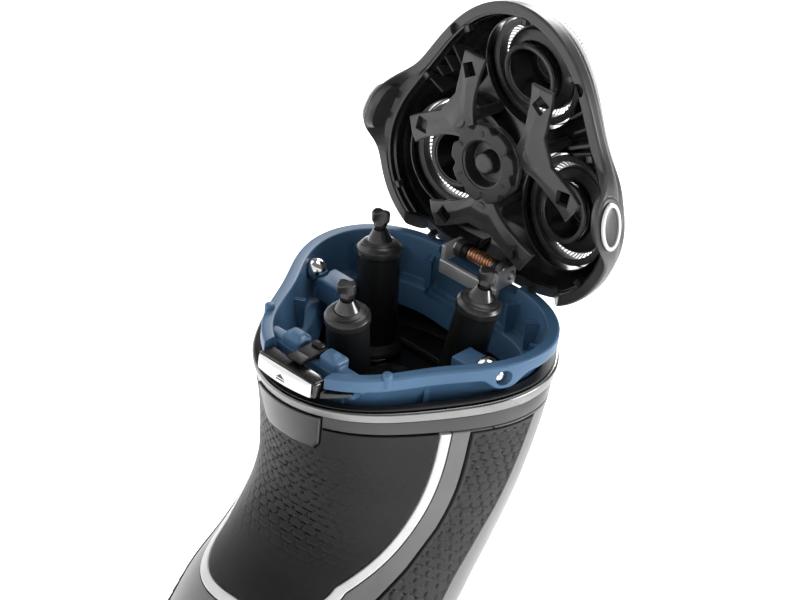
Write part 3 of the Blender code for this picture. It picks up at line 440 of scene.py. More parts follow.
# ---------------------------------------------------------------- handle surface
def station(distance):
    """Spine place, lean and half sizes at distances, read as a smooth curve."""
    distance = np.asarray(distance, float)
    k = np.clip(np.searchsorted(STATIONS[:, 0], distance, side="left") - 1, 0, len(STATIONS) - 2)
    first, second = STATIONS[k], STATIONS[k + 1]
    before = STATIONS[np.maximum(k - 1, 0)]
    after = STATIONS[np.minimum(k + 2, len(STATIONS) - 1)]
    span = second[..., :1] - first[..., :1]
    t = (distance[..., None] - first[..., :1]) / span
    slope_in = (second - before) / (second[..., :1] - before[..., :1])
    slope_out = (after - first) / (after[..., :1] - first[..., :1])
    return ((2 * t**3 - 3 * t**2 + 1) * first + (t**3 - 2 * t**2 + t) * span * slope_in
            + (3 * t**2 - 2 * t**3) * second + (t**3 - t**2) * span * slope_out)


def skin(distance, angle, offset=0.0):
    """Handle surface points; angle is in degrees from the front, towards the right."""
    distance, angle, offset = np.broadcast_arrays(distance, angle, offset)
    row = station(distance)
    y, z, lean, width, depth, bulge = (row[..., k] for k in range(1, 7))
    turn, lean = np.radians(angle), np.radians(lean)
    swell = 1.0 + bulge * np.cos(3.0 * turn)
    across = (width * swell + offset) * np.sin(turn)
    back = -(depth * swell + offset) * np.cos(turn)
    return np.stack((across, y + back * np.cos(lean), z + back * np.sin(lean)), -1)


def arc_scale(distance):
    """Millimetres round the surface for each degree of angle."""
    row = station(distance)
    return (row[..., 4] + row[..., 5]) / 2.0 * pi / 180.0


def panel_half_width(distance):
    """Half the front panel's width round the surface."""
    return 29.4 - 2.06 * (distance / 10.0) - 0.22 * (distance / 10.0) ** 2


def panel_edge(part, spread, top=PANEL_TOP):
    """Distance and angle on the front panel's U-shaped edge, widened by spread."""
    part = np.asarray(part, float)
    side = np.where(part < 0.5, -1.0, 1.0)
    along = 1.0 - np.abs(2.0 * part - 1.0)
    turn = np.clip((along - PANEL_STRAIGHT) / (1.0 - PANEL_STRAIGHT), 0.0, 1.0) * pi / 2
    high = top + (PANEL_BEND - top) * np.minimum(along, PANEL_STRAIGHT) / PANEL_STRAIGHT
    low = PANEL_BEND + (PANEL_END + spread - PANEL_BEND) * np.sin(turn)
    distance = np.where(along < PANEL_STRAIGHT, high, low)
    bend = np.where(along < PANEL_STRAIGHT, 1.0, np.maximum(np.cos(turn), 0.0) ** PANEL_SQUARE)
    edge = panel_half_width(np.minimum(distance, PANEL_BEND)) + spread
    return distance, side * bend * edge / arc_scale(distance)


def edge_roll(gap, radius):
    """How far a rounded edge drops at a distance from the border."""
    t = np.clip(1.0 - gap / max(radius, 0.001), 0.0, 1.0)
    return radius * (1.0 - np.sqrt(1.0 - t**2))


def fine_steps(count, roll):
    """Values from 0 to 1 with extra ones near both ends, for rounded edges."""
    ends = np.array((0.0, 0.12, 0.3, 0.6, 1.0)) * roll
    return np.concatenate((ends, np.linspace(roll, 1.0 - roll, count)[1:-1], 1.0 - ends[::-1]))


# ---------------------------------------------------------------- outlines
def outline(shape, inset, angle):
    """Flat points of a rounded triangle with a corner at the front."""
    centre, radius, corner, long = shape
    turn = np.radians(angle)
    reach = radius + corner * np.cos(3.0 * turn) + long * np.cos(2.0 * turn) - inset
    return reach * np.sin(turn), centre - reach * np.cos(turn)


def outline_ring(shape, inset, height, count=180):
    """A closed ring of a rounded triangle; inset and height may vary round it."""
    angle = np.linspace(-180.0, 180.0, count, endpoint=False)
    x, y = outline(shape, inset, angle)
    return np.stack((x, y, np.broadcast_to(height, x.shape)), -1)


def deck_xy(angle, radius, centre=0.0):
    """A point on a circle about the chamber axis; angle is from +X."""
    return radius * cos(radians(angle)), centre + radius * sin(radians(angle))


# ---------------------------------------------------------------- finishes
def fill(node, values):
    """Set a node's sockets by name."""
    for name, value in values.items():
        node.inputs[name].default_value = value


def add_noise(nodes, links, vector, scale, detail):
    """A noise texture fed by a vector."""
    noise = nodes.new("ShaderNodeTexNoise")
    fill(noise, {"Scale": scale, "Detail": detail})
    links.new(vector, noise.inputs["Vector"])
    return noise.outputs["Fac"]


def finish(name, dark, light, rough, metallic=0.0, grain=2500.0, bump=0.05, stretch=(1, 1, 1),
           spread=0.05, coat=0.0, patch=90.0, shine=0.5):
    """A finish whose colour, roughness and surface all vary a little over the piece."""
    made = bpy.data.materials.new(name)
    made.use_nodes = True
    nodes, links = made.node_tree.nodes, made.node_tree.links
    shader = nodes["Principled BSDF"]
    fill(shader, {"Metallic": metallic, "Specular IOR Level": shine, "Coat Weight": coat,
                  "Coat Roughness": COAT_ROUGHNESS})
    place = nodes.new("ShaderNodeTexCoord")
    warp = nodes.new("ShaderNodeMapping")
    fill(warp, {"Scale": stretch})
    links.new(place.outputs["Object"], warp.inputs["Vector"])
    cloud = add_noise(nodes, links, warp.outputs["Vector"], patch, 3.0)
    fine = add_noise(nodes, links, warp.outputs["Vector"], grain, 2.0)
    tint = nodes.new("ShaderNodeValToRGB")
    for stop, spot, colour in zip(tint.color_ramp.elements, (NOISE_LOW, NOISE_HIGH), (dark, light)):
        stop.position = spot
        stop.color = (*colour, 1.0)
    links.new(cloud, tint.inputs["Fac"])
    links.new(tint.outputs["Color"], shader.inputs["Base Color"])
    gloss = nodes.new("ShaderNodeMapRange")
    fill(gloss, {"From Min": NOISE_LOW, "From Max": NOISE_HIGH, "To Min": max(rough - spread, 0.03),
                 "To Max": rough + spread})
    links.new(cloud, gloss.inputs["Value"])
    links.new(gloss.outputs["Result"], shader.inputs["Roughness"])
    lift = nodes.new("ShaderNodeBump")
    fill(lift, {"Strength": bump, "Distance": BUMP_DEPTH})
    links.new(fine, lift.inputs["Height"])
    links.new(lift.outputs["Normal"], shader.inputs["Normal"])
    return made


def grey(low, high, tone=1.0):
    """A pair of nearly neutral colours."""
    return (low * tone, low, low / tone), (high * tone, high, high / tone)


FINISH = {
    "housing": finish("housing", *grey(0.092, 0.112), 0.38, bump=0.10),
    "soft_black": finish("soft_black", *grey(0.0050, 0.0070), 0.50, bump=0.14, shine=0.24),
    "rubber": finish("rubber", *grey(0.015, 0.021), 0.54, bump=0.20, shine=0.26),
    "silver": finish("silver", *grey(0.50, 0.57), 0.45, 0.3, bump=0.05),
    "dark_chrome": finish("dark_chrome", *grey(0.20, 0.26), 0.30, 1.0, 1800.0, 0.10, (0.25, 0.25, 3.0)),
    "black": finish("black", *grey(0.005, 0.008), 0.22, bump=0.04, coat=0.2),
    "blue": finish("blue", (0.040, 0.098, 0.180), (0.052, 0.118, 0.212), 0.42, bump=0.10, shine=0.35),
    "steel": finish("steel", *grey(0.36, 0.46), 0.30, 1.0, 2600.0, 0.08, (1.0, 1.0, 0.2)),
    "copper": finish("copper", (0.62, 0.26, 0.11), (0.72, 0.33, 0.16), 0.32, 0.9, bump=0.06),
    "head_grey": finish("head_grey", *grey(0.024, 0.032), 0.38, bump=0.12),
    "frame_grey": finish("frame_grey", *grey(0.024, 0.036), 0.36, bump=0.12),
    "white": finish("white", *grey(0.78, 0.86), 0.30, bump=0.05),
    "board": finish("board", (0.02, 0.15, 0.06), (0.03, 0.19, 0.08), 0.45),
    "cell": finish("cell", (0.17, 0.24, 0.32), (0.21, 0.29, 0.37), 0.40),
    "lens": finish("lens", (0.50, 0.66, 0.82), (0.58, 0.74, 0.88), 0.12, bump=0.03),
}
MATT_BLACK = finish("matt_black", *grey(0.004, 0.006), 0.40, bump=0.14, shine=0.3)
DARK_PLASTIC = finish("dark_plastic", *grey(0.012, 0.016), 0.30, bump=0.08)
DARK_BAND = finish("dark_band", *grey(0.020, 0.026), 0.34, bump=0.08)
GLOSS_BLACK = finish("gloss_black", *grey(0.003, 0.005), 0.16, bump=0.03, coat=0.3)
DARK_METAL = finish("dark_metal", *grey(0.012, 0.018), 0.32, bump=0.05)
SATIN_STEEL = finish("satin_steel", *grey(0.46, 0.56), 0.46, 0.65, 2600.0, 0.08)
WHEEL_GREY = finish("wheel_grey", *grey(0.010, 0.015), 0.38, bump=0.12, shine=0.35)
POLISHED = finish("polished", *grey(0.74, 0.80), 0.12, 1.0, bump=0.02)
MARK = finish("mark", *grey(0.030, 0.045), 0.45)


# ---------------------------------------------------------------- handle
def smooth_step(value, low, high):
    """A smooth ramp from 0 below low to 1 above high."""
    t = np.clip((value - low) / (high - low), 0.0, 1.0)
    return t * t * (3.0 - 2.0 * t)


def surface_slab(distance, angle, high, low, drop):
    """A solid between two offsets of the handle's surface, with a rounded rim."""
    return slab(skin(distance, angle, high - drop), skin(distance, angle, low))


def housing_half(name, first, last):
    """Half of the outer shell with softened edges."""
    down = HOUSING_TOP + (CAP_AT - GAP - HOUSING_TOP) * fine_steps(112, 0.004)
    turn = first + (last - first) * fine_steps(86, 0.004)
    distance, angle = np.meshgrid(down, turn, indexing="ij")
    gap = np.minimum(np.minimum(distance - down[0], down[-1] - distance),
                     np.minimum(angle - first, last - angle) * arc_scale(distance))
    return as_object(name, surface_slab(distance, angle, -SHELL_TUCK, -WALL, edge_roll(gap, 0.3)), HANDLE)


def panel_grid(spread, top, across=200, fine=0.30):
    """Distances and angles over the front panel, and each point's distance from its edge."""
    along = PANEL_STRAIGHT * fine_steps(int((PANEL_BEND - top) / fine), 0.012)[:-5]
    along = np.concatenate((along, np.linspace(PANEL_STRAIGHT, 0.994, int(14.0 / fine))))
    distance, angle = panel_edge(along / 2.0, spread, top)
    reach = 1.0 - 2.0 * fine_steps(across, 0.012)
    s = np.broadcast_to(distance[:, None], (len(distance), len(reach)))
    a = angle[:, None] * reach[None, :]
    side = (1.0 - np.abs(reach))[None, :] * np.abs(angle)[:, None] * arc_scale(distance)[:, None]
    gap = np.minimum(np.minimum(side, s - top), np.maximum(PANEL_END + spread - s, 0.0) + 0.2 * side)
    return s, a, gap


def grip_angles(distance):
    """Front and rear edge angles of a side grip."""
    return [np.interp(distance, GRIP_EDGES[:, 0], GRIP_EDGES[:, k]) for k in (1, 2)]


def grip_grid(spread, rows, cols):
    """Distances and angles over a side grip, and each point's distance from its edge."""
    down = GRIP_TOP - spread + (GRIP_END - GRIP_TOP + 2.0 * spread) * fine_steps(rows, 0.004)
    front, rear = grip_angles(down)
    front, rear = front - spread * 4.4, rear + spread * 3.2
    across = fine_steps(cols, 0.03)
    s = np.broadcast_to(down[:, None], (len(down), len(across)))
    a = front[:, None] + (rear - front)[:, None] * across[None, :]
    width = ((rear - front) * arc_scale(down))[:, None]
    side = np.minimum(across, 1.0 - across)[None, :] * width
    gap = np.minimum(side, np.minimum(s - down[0], down[-1] - s))
    return s, a, gap


def scale_rows(distance):
    """Row count of the scales down to a distance, and the cell width and height there."""
    grown = 1.0 + SCALE_GROWTH * distance
    return np.log(grown) / SCALE_GROWTH / SCALE_HEIGHT, SCALE_WIDTH * grown, SCALE_HEIGHT * grown


def grip_scales(distance, across):
    """Height field of overlapping scales, which grow towards the base."""
    rows, width, height = scale_rows(distance)
    best = np.zeros_like(distance)
    for lag in (1.0, 0.0):
        line = np.floor(rows) - lag
        shift = np.where(np.mod(line, 2.0) > 0.5, 0.5, 0.0)
        x = np.mod(across / width + shift, 1.0) - 0.5
        y = rows - line
        lip = 1.0 + 0.5 * np.sqrt(np.maximum(1.0 - np.abs(2.0 * x) ** 2.4, 0.0))
        face = np.clip((lip - y) * height / 0.34, 0.0, 1.0)
        side = np.clip((0.5 - np.abs(x)) * width / 0.26, 0.0, 1.0)
        face = np.minimum(face, np.where(y > 0.75, np.maximum(side, 0.0), 1.0))
        value = 0.05 + 0.95 * face * (0.62 + 0.38 * np.clip(y / lip, 0.0, 1.0))
        best = np.where((y < lip) & (best == 0.0), value, best)
    return best


def build_housing():
    """Both halves of the shell with the pockets for the panel, trim, grips and button."""
    front = housing_half("front_shell", -SEAM + 0.4, SEAM - 0.4)
    rear = housing_half("rear_shell", SEAM + 0.4, 360.0 - SEAM - 0.4)
    s, a = panel_grid(2.0 * TRIM_GAP + TRIM_WIDTH, PANEL_TOP - 2.0, 40, 1.2)[:2]
    cut(front, HANDLE, slab(skin(s, a, TOOL_OUT), skin(s, a, -POCKET)))
    for side in (1.0, -1.0):
        for target in (front, rear):
            s, a = grip_grid(GAP, 70, 8)[:2]
            cut(target, HANDLE, slab(skin(s, side * a, TOOL_OUT), skin(s, side * a, -POCKET)))
    x, y, z = button_place()
    cut(front, HANDLE, rod(BUTTON_RADIUS + GAP, -6, 6, 64, axis="Y", at=(x, y, z)))
    cut(front, HANDLE, rod(1.4, -6, 6, 32, axis="Y", at=(0.0, y, z - LIGHT_DROP)))
    dress(front, "housing", "handle", ["front_housing"])
    dress(rear, "housing", "handle", ["rear_housing"])


def build_panel():
    """Soft front panel, with scales that fade away from its upper middle."""
    s, a, gap = panel_grid(0.0, PANEL_TOP)
    across = a * arc_scale(s)
    strong = np.exp(-(np.abs(a) / 26.0) ** 2.4)
    strong = strong * smooth_step(s, 11.0, 15.0) * (1.0 - smooth_step(s, 38.0, 52.0))
    faint = 0.12 * smooth_step(s, 12.0, 20.0) * (1.0 - smooth_step(s, 44.0, 56.0))
    fade = (strong + faint) * smooth_step(gap, 1.0, 4.0)
    carved = PANEL_RELIEF * fade * (1.0 - grip_scales(s, across))
    bm = surface_slab(s, a, 0.0, -PANEL_THICK, edge_roll(gap, 0.25) + carved)
    panel = as_object("panel", bm, HANDLE)
    return dress(panel, "soft_black", "handle", ["front_panel"], smooth=60.0)


def build_trim():
    """The silver line round the panel."""
    part = np.linspace(0.0, 1.0, 361)
    across = fine_steps(6, 0.12)
    outer, inner = [], []
    for t in across:
        s, a = panel_edge(part, TRIM_GAP + TRIM_WIDTH * t)
        drop = edge_roll(min(t, 1.0 - t) * TRIM_WIDTH, 0.25)
        outer.append(skin(s, a, 0.15 - drop))
        inner.append(skin(s, a, -PANEL_THICK))
    outer, inner = np.array(outer).swapaxes(0, 1), np.array(inner).swapaxes(0, 1)
    piece("trim", slab(outer, inner), HANDLE, "silver", "handle", ["silver_trim"])


def build_grips():
    """Rubber side grips with real overlapping scales."""
    for side, word in ((1.0, "right"), (-1.0, "left")):
        s, a, gap = grip_grid(0.0, 330, 46)
        middle = (a[:, :1] + a[:, -1:]) / 2.0
        scales = grip_scales(s, (a - middle) * arc_scale(s))
        texture = GRIP_RELIEF * smooth_step(gap, 0.3, 0.8) * (1.0 - scales)
        bm = surface_slab(s, side * a, 0.1, -PANEL_THICK, edge_roll(gap, 0.22) + texture)
        piece("grip_" + word, bm, HANDLE, "rubber", "handle", ["side_grip_" + word], smooth=60.0)


def skin_loop(profile, count=240):
    """Closed rings round the handle from (distance, offset) points."""
    angle = np.linspace(-180.0, 180.0, count, endpoint=False)
    return [skin(s, angle, o) for s, o in profile]


def plate_slab(grow, low, high, roll):
    """The region of the plain plate below the release button."""
    down = PLATE_TOP - grow + (PLATE_LONG + 2.0 * grow) * fine_steps(26, 0.03)
    across = -1.0 + 2.0 * fine_steps(34, 0.02)
    s = np.broadcast_to(down[:, None], (len(down), len(across)))
    corner = 0.9 * smooth_step(s, 11.1, 13.1 + grow)
    half = 15.5 + 1.8 * grow - 0.25 * (s - 3.5) - corner * 2.0
    a = half * across[None, :]
    gap = np.minimum((1.0 - np.abs(across))[None, :] * half * arc_scale(s),
                     np.minimum(s - down[0], down[-1] - s))
    return slab(skin(s, a, high - edge_roll(gap, roll)), skin(s, a, low))


def build_collar():
    """Brushed ring, dark band and the plain plate."""
    ring = rounded([(RING_TOP, -0.3), (RING_TOP + 0.3, 0.1), (RING_LOW, 0.1), (RING_LOW, -1.45),
                    (RING_TOP, -1.45)], 0.14, True)
    piece("ring", loft(skin_loop(ring), True), HANDLE, "dark_chrome", "handle", ["collar_ring"])
    band = rounded([(BAND_TOP, -0.25), (BAND_LOW, -0.15), (BAND_LOW, -1.45), (BAND_TOP, -1.45)], 0.2, True)
    body = as_object("band", loft(skin_loop(band), True), HANDLE)
    cut(body, HANDLE, plate_slab(GAP, -0.95, TOOL_OUT, 0.0))
    dress(body, "black", "handle", ["collar_band"], finish=DARK_BAND)
    panel = bpy.data.objects["panel"]
    cut(panel, HANDLE, plate_slab(GAP, -0.95, TOOL_OUT, 0.0))
    dress(panel, "soft_black", "handle", smooth=60.0)
    piece("plate", plate_slab(0.0, -0.6, 0.45, 0.3), HANDLE, "dark_chrome", "handle", ["front_plate"],
          finish=DARK_PLASTIC)


def button_place():
    """The power button's centre on the front surface."""
    return tuple(skin(BUTTON_AT, 0.0))


def build_base():
    """Base cap with its seam, charging inlet and pins, and the button and light above."""
    profile = rounded([(CAP_AT, -6.0), (CAP_AT, 0.0), (131.5, 0.0), (134.6, -0.2), (BASE_AT, -1.2),
                       (BASE_AT, -6.0)], 0.35)
    cap = as_object("cap", loft(skin_loop(profile, 180)), HANDLE)
    plug = loft(skin_loop([(CAP_AT - 4.0, -WALL - GAP), (CAP_AT + 1.0, -WALL - GAP)], 120))
    fuse(cap, HANDLE, plug)
    low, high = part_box("charging_inlet")
    low, high = np.array(low) / MM, np.array(high) / MM
    seat = box(low - GAP - np.array((0, 0, 3)), high + GAP + np.array((0, 0, 12)), 0.4)
    cut(cap, HANDLE, seat)
    dress(cap, "housing", "handle", ["base_cap"])
    inlet = as_object("inlet", box(low, high, 0.35), HANDLE)
    cut(inlet, HANDLE, box(low + INLET_WALL - np.array((0, 0, 3)), high - INLET_WALL, 0.3))
    pins = []
    for word in ("left", "right"):
        start, end = (np.array(corner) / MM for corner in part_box("inlet_pin_" + word))
        x, y = (start[:2] + end[:2]) / 2.0
        cut(inlet, HANDLE, rod(1.1, start[2] - 1, end[2] + 1, 32, at=(x, y, 0.0)))
        pins.append((word, rod(0.8, start[2], end[2], 32, 0.3, at=(x, y, 0.0))))
    dress(inlet, "black", "handle", ["charging_inlet"])
    for word, bm in pins:
        piece("contact_" + word, bm, HANDLE, "steel", "handle", ["inlet_pin_" + word], finish=POLISHED)
    x, y, z = button_place()
    shape = lathe([(0, 6), (1.8, 6), (1.8, 1.9), (5.6, 1.9), (5.6, 0.05), (4.9, -0.5), (2.5, -0.3),
                   (0, -0.2)], 0.3, 96, axis="Y", at=(x, y, z))
    piece("button", shape, HANDLE, "silver", "button", ["power_button"])
    shape = rounded([(0, 0), (1.1, 0), (1.1, -1.3), (0.8, -1.5), (0, -1.55)], 0.25)
    shape = [(r, -h - 1.5) for r, h in shape]
    piece("window", turned(shape, 48, axis="Y", at=(x, y + 0.2, z - LIGHT_DROP)), HANDLE, "lens", "handle",
          ["charge_light"])


# ---------------------------------------------------------------- drive
def lifted(place, points):
    """Points of a frame, as handle millimetres."""
    turn = np.array(place.to_3x3())
    origin = np.array(place.translation) / MM
    return np.asarray(points, float) @ turn.T + origin


def build_deck():
    """The black tray below the chamber, with its floor details."""
    count = 180
    angle = np.linspace(-180.0, 180.0, count, endpoint=False)

    def floor_ring(inset, height):
        return lifted(CHAMBER, outline_ring((0.2, 22.2, 1.6, 0.2), inset, height, count))

    def wall_ring(distance, offset):
        return skin(distance, angle, offset)

    rings = [floor_ring(18.0, DECK_Z - 1.4), floor_ring(1.2, DECK_Z - 1.4), floor_ring(0.6, DECK_Z - 1.2),
             wall_ring(11.6, -2.6), wall_ring(BAND_LOW - 0.3, -2.6), wall_ring(BAND_LOW - 0.6, -1.75),
             wall_ring(RING_TOP - 0.3, -1.75), wall_ring(RING_TOP - 0.3, -0.7),
             wall_ring(RING_TOP - 0.4, -0.53), wall_ring(LIP_TOP + 0.1, -0.55), wall_ring(LIP_TOP, -0.75),
             wall_ring(LIP_TOP, -2.2), wall_ring(LIP_TOP + 0.2, -2.4), wall_ring(4.4, -2.6),
             wall_ring(5.4, -3.5), wall_ring(10.2, -3.5), floor_ring(1.4, DECK_Z + 0.5),
             floor_ring(2.0, DECK_Z), floor_ring(18.0, DECK_Z)]
    deck = as_object("deck", loft(rings), HANDLE)
    for word in TOWERS:
        cut(deck, TOWER[word], rod(2.5, -27, -18, 48))
    dress(deck, "black", "handle", ["drive_deck"], finish=MATT_BLACK)
    dome = rounded([(0, 0), (5.6, 0), (5.6, 1.2), (4.4, 2.6), (2.6, 3.1), (0, 3.2)], 0.7)
    dome[:, 1] += DECK_Z - 0.1
    piece("dome", turned(dome, 72), CHAMBER, "black", "handle")
    for k, turn in enumerate((-30.0, 90.0, 210.0)):
        x, y = deck_xy(turn, 17.2)
        profile = [(0, 0), (1.7, 0), (1.7, 0.7), (1.2, 1.1), (0, 1.1)]
        screw = lathe(profile, 0.2, 40, at=(x, y, DECK_Z - 0.1))
        made = as_object("screw_%d" % k, screw, CHAMBER)
        cut(made, CHAMBER, *(box((x - a, y - b, DECK_Z + 0.5), (x + a, y + b, DECK_Z + 2))
                             for a, b in ((1.1, 0.22), (0.22, 1.1))))
        dress(made, "black", "handle", finish=FINISH["steel"])
        spread = [(-9.0, -0.6), (9.0, -0.6), (9.0, 0.6), (-9.0, 0.6)]
        turned_by = radians(turn + 90.0)
        x, y = deck_xy(turn, 11.4)
        bars = [(x + a * cos(turned_by) - b * sin(turned_by), y + a * sin(turned_by) + b * cos(turned_by))
                for a, b in spread]
        piece("rib_%d" % k, prism(bars, DECK_Z - 0.1, DECK_Z + 1.2, 0.3), CHAMBER, "black", "handle",
              finish=MATT_BLACK)


def build_towers():
    """Splayed towers with caps, feet, seals, washers and hooked couplings."""
    for word in TOWERS:
        place = TOWER[word]
        wall = lathe([(3.75, -20.6), (3.8, -2.0), (4.0, -1.7), (4.0, -0.55), (3.5, 0.0), (2.4, 0.6),
                      (2.4, -20.6)], 0.22, 96, True)
        piece("tower_" + word, wall, place, "black", "handle", ["drive_tower_" + word], finish=MATT_BLACK)
        cap = lathe([(2.45, -0.2), (4.02, -0.62), (4.02, -1.66), (4.1, -1.66), (4.1, -0.5), (3.58, 0.1),
                     (2.45, 0.66)], 0.12, 96, True)
        piece("tower_cap_" + word, cap, place, "black", "handle", finish=DARK_PLASTIC)
        foot = lathe([(3.7, -20.7), (5.0, -20.7), (4.9, -19.9), (3.9, -18.6), (3.7, -18.6)], 0.3, 72, True)
        piece("tower_foot_" + word, foot, place, "black", "handle", finish=MATT_BLACK)
        seal = lathe([(2.05, -1.4), (2.3, 0.55), (2.24, 0.9), (1.24, 2.9), (1.1, 2.9), (1.1, -1.4)], 0.12, 96,
                     True)
        piece("seal_" + word, seal, place, "black", "handle", ["tower_seal_" + word])
        washer = lathe([(2.3, 0.62), (3.1, 0.34), (3.14, 0.46), (2.3, 0.8)], 0.05, 96, True)
        bmesh.ops.translate(washer, verts=washer.verts, vec=(0.12, 0.0, 0.03))
        piece("washer_" + word, washer, place, "black", "handle", finish=DARK_METAL)
        piece("hook_" + word, coupling_mesh(HOOK_TURNS[word]), place, "black", "coupling_" + word,
              ["coupling_" + word], finish=DARK_PLASTIC)


def coupling_mesh(start):
    """A stem that rises out of the seal and ends in a bulky, twisted two-lobed head."""
    turn = np.linspace(0.0, 2 * pi, 96, endpoint=False)
    rings = []
    for height, radius in ((-8.8, 0.7), (-8.7, 0.82), (2.9, 0.82), (3.2, 0.95), (3.5, 1.12), (3.7, 1.18)):
        rings.append(np.stack((radius * np.cos(turn), radius * np.sin(turn), np.full(96, height)), -1))
    for t in np.linspace(0.0, 1.0, 26):
        lobe = np.cos(2.0 * (turn - radians(start + 30.0 * t)))
        tuck = 1.0 - 0.16 * smooth_step(t, 0.86, 1.0) ** 2
        spread = smooth_step(t, 0.0, 0.3)
        reach = (1.20 + 0.08 * spread + 0.40 * spread * np.sign(lobe) * np.abs(lobe) ** 0.6) * tuck
        height = 3.75 + 2.95 * t - 0.45 * smooth_step(t, 0.3, 1.0) * np.cos(turn - radians(start + 60.0)) ** 2
        rings.append(np.stack((reach * np.cos(turn), reach * np.sin(turn), height), -1))
    return loft(rings)


def build_pivots():
    """Bearing cups and polished balls that the chamber rocks on."""
    for side, word in ((1.0, "right"), (-1.0, "left")):
        centre = (side * PIVOT_X, PIVOT_Y, PIVOT_Z)
        stem = side_box(side, (13.8, -1.4, -21.2), (16.0, 3.6, -11.0), 0.45)
        cup = as_object("cup_" + word, stem, CHAMBER)
        fuse(cup, CHAMBER, side_box(side, (13.8, -1.4, -11.6), (19.3, 3.6, -7.2), 0.45))
        cut(cup, CHAMBER, turned(arc_profile(2.5, 20), 64, at=centre))
        dress(cup, "blue", "handle", ["pivot_cup_" + word])
        pin = as_object("pin_" + word, turned(arc_profile(2.1, 24), 64, at=centre), CHAMBER)
        start, tip = side * PIVOT_X, side * PIVOT_END
        shank = lathe([(0, start), (1.2, start), (1.2, tip - side * 0.5), (0.7, tip - side * 0.1), (0, tip)],
                      0.3, 48, axis="X", at=(0.0, PIVOT_Y, PIVOT_Z))
        fuse(pin, CHAMBER, shank)
        dress(pin, "steel", "chamber", ["pivot_pin_" + word], finish=POLISHED)


def arc_profile(radius, rows):
    """A half circle, as the profile of a ball."""
    turn = np.linspace(0.0, pi, rows + 1)
    profile = np.stack((radius * np.sin(turn), -radius * np.cos(turn)), 1)
    profile[0, 0] = profile[-1, 0] = 0.0
    return profile


def side_box(side, low, high, bevel=0.4):
    """A rounded block given for the right side, mirrored when side is -1."""
    xs = sorted((side * low[0], side * high[0]))
    return box((xs[0], low[1], low[2]), (xs[1], high[1], high[2]), bevel)


# ---------------------------------------------------------------- chamber
def ear_bump(angle, width=6.9, power=3.2):
    """1 at the middle of each pivot ear, falling smoothly to 0 beside it."""
    return np.exp(-((np.abs(np.abs(angle) - 90.4) / width) ** power))


def build_chamber():
    """The blue hair chamber with its flared ears, ledge, bay, latch humps and ribs."""
    count = 360
    angle = np.linspace(-180.0, 180.0, count, endpoint=False)
    profile = rounded([(0.0, RIM_Z - 0.25), (0.0, -6.9), (1.95, -7.3), (3.0, -12.2), (4.5, -13.2),
                       (5.9, -17.0), (7.1, -17.0), (5.8, -12.5), (3.7, -12.0), (2.5, -5.4), (2.24, RIM_Z),
                       (0.3, RIM_Z)], 0.32, True)
    rings = []
    for inset, height in profile:
        hang = 2.2 if inset < 2.3 and -8.0 < height < -6.4 else 0.0
        rings.append(outline_ring(CHAMBER_OUTLINE, inset, height - hang * ear_bump(angle), count))
    body = as_object("chamber", loft(rings, True), CHAMBER)
    for side in (1.0, -1.0):
        low, high = sorted((side * 20.0, side * 30.0))
        bore = rod(1.5, low, high, 64, axis="X", at=(0.0, PIVOT_Y, PIVOT_Z))
        seat = turned(arc_profile(2.45, 20), 64, at=(side * PIVOT_X, PIVOT_Y, PIVOT_Z))
        cut(body, CHAMBER, bore, seat)
    ledge = box((-9.3, 16.1, -13.3), (9.3, 20.4, -9.05), 0.5)
    notch = box((-9.4, 17.0, -5.7), (9.4, 30.0, 0.0), 0.25)
    bay = box((-7.2, -32.0, -9.4), (7.2, -23.9, 0.0), 0.25)
    web = box((-8.6, -23.2, -12.1), (8.6, -21.6, -5.6), 0.5)
    fuse(body, CHAMBER, ledge)
    cut(body, CHAMBER, notch)
    cut(body, CHAMBER, bay)
    fuse(body, CHAMBER, web)
    dress(body, "blue", "chamber", ["hair_chamber"])
    for side, word in ((1.0, "right"), (-1.0, "left")):
        detail = [
            side_box(side, (2.3, -23.1, -9.0), (6.6, -19.6, -3.6), 0.55),
            side_box(side, (2.7, -22.7, -5.0), (5.4, -20.4, -2.9), 0.6),
            side_box(side, (5.6, -22.9, -9.6), (10.6, -20.2, -5.0), 0.7),
            side_box(side, (8.6, -21.9, -8.2), (11.8, -19.2, -6.0), 0.6),
        ]
        hump = soften(as_object("hump_" + word, merge(*detail), CHAMBER), 0.2, 7)
        dress(hump, "blue", "chamber")
        nub = turned(rounded([(0, -6.2), (0.95, -6.2), (0.9, -3.7), (0.6, -3.4), (0, -3.4)], 0.3), 40,
                     at=(side * PEG_X, PEG_Y, 0.0))
        piece("nub_" + word, nub, CHAMBER, "blue", "chamber")
        ribs = []
        for turn, reach, thick in ((136.0, 1.3, 0.5), (152.0, 1.2, 0.5), (118.0, 0.8, 0.45),
                                   (57.0, 0.9, 0.45)):
            first = outline(CHAMBER_OUTLINE, 2.2, side * turn)
            second = outline(CHAMBER_OUTLINE, 3.9 + reach, side * turn)
            ribs.append(radial_block(first, second, thick, -12.4, -6.6, 0.2))
        piece("ribs_" + word, merge(*ribs), CHAMBER, "blue", "chamber")


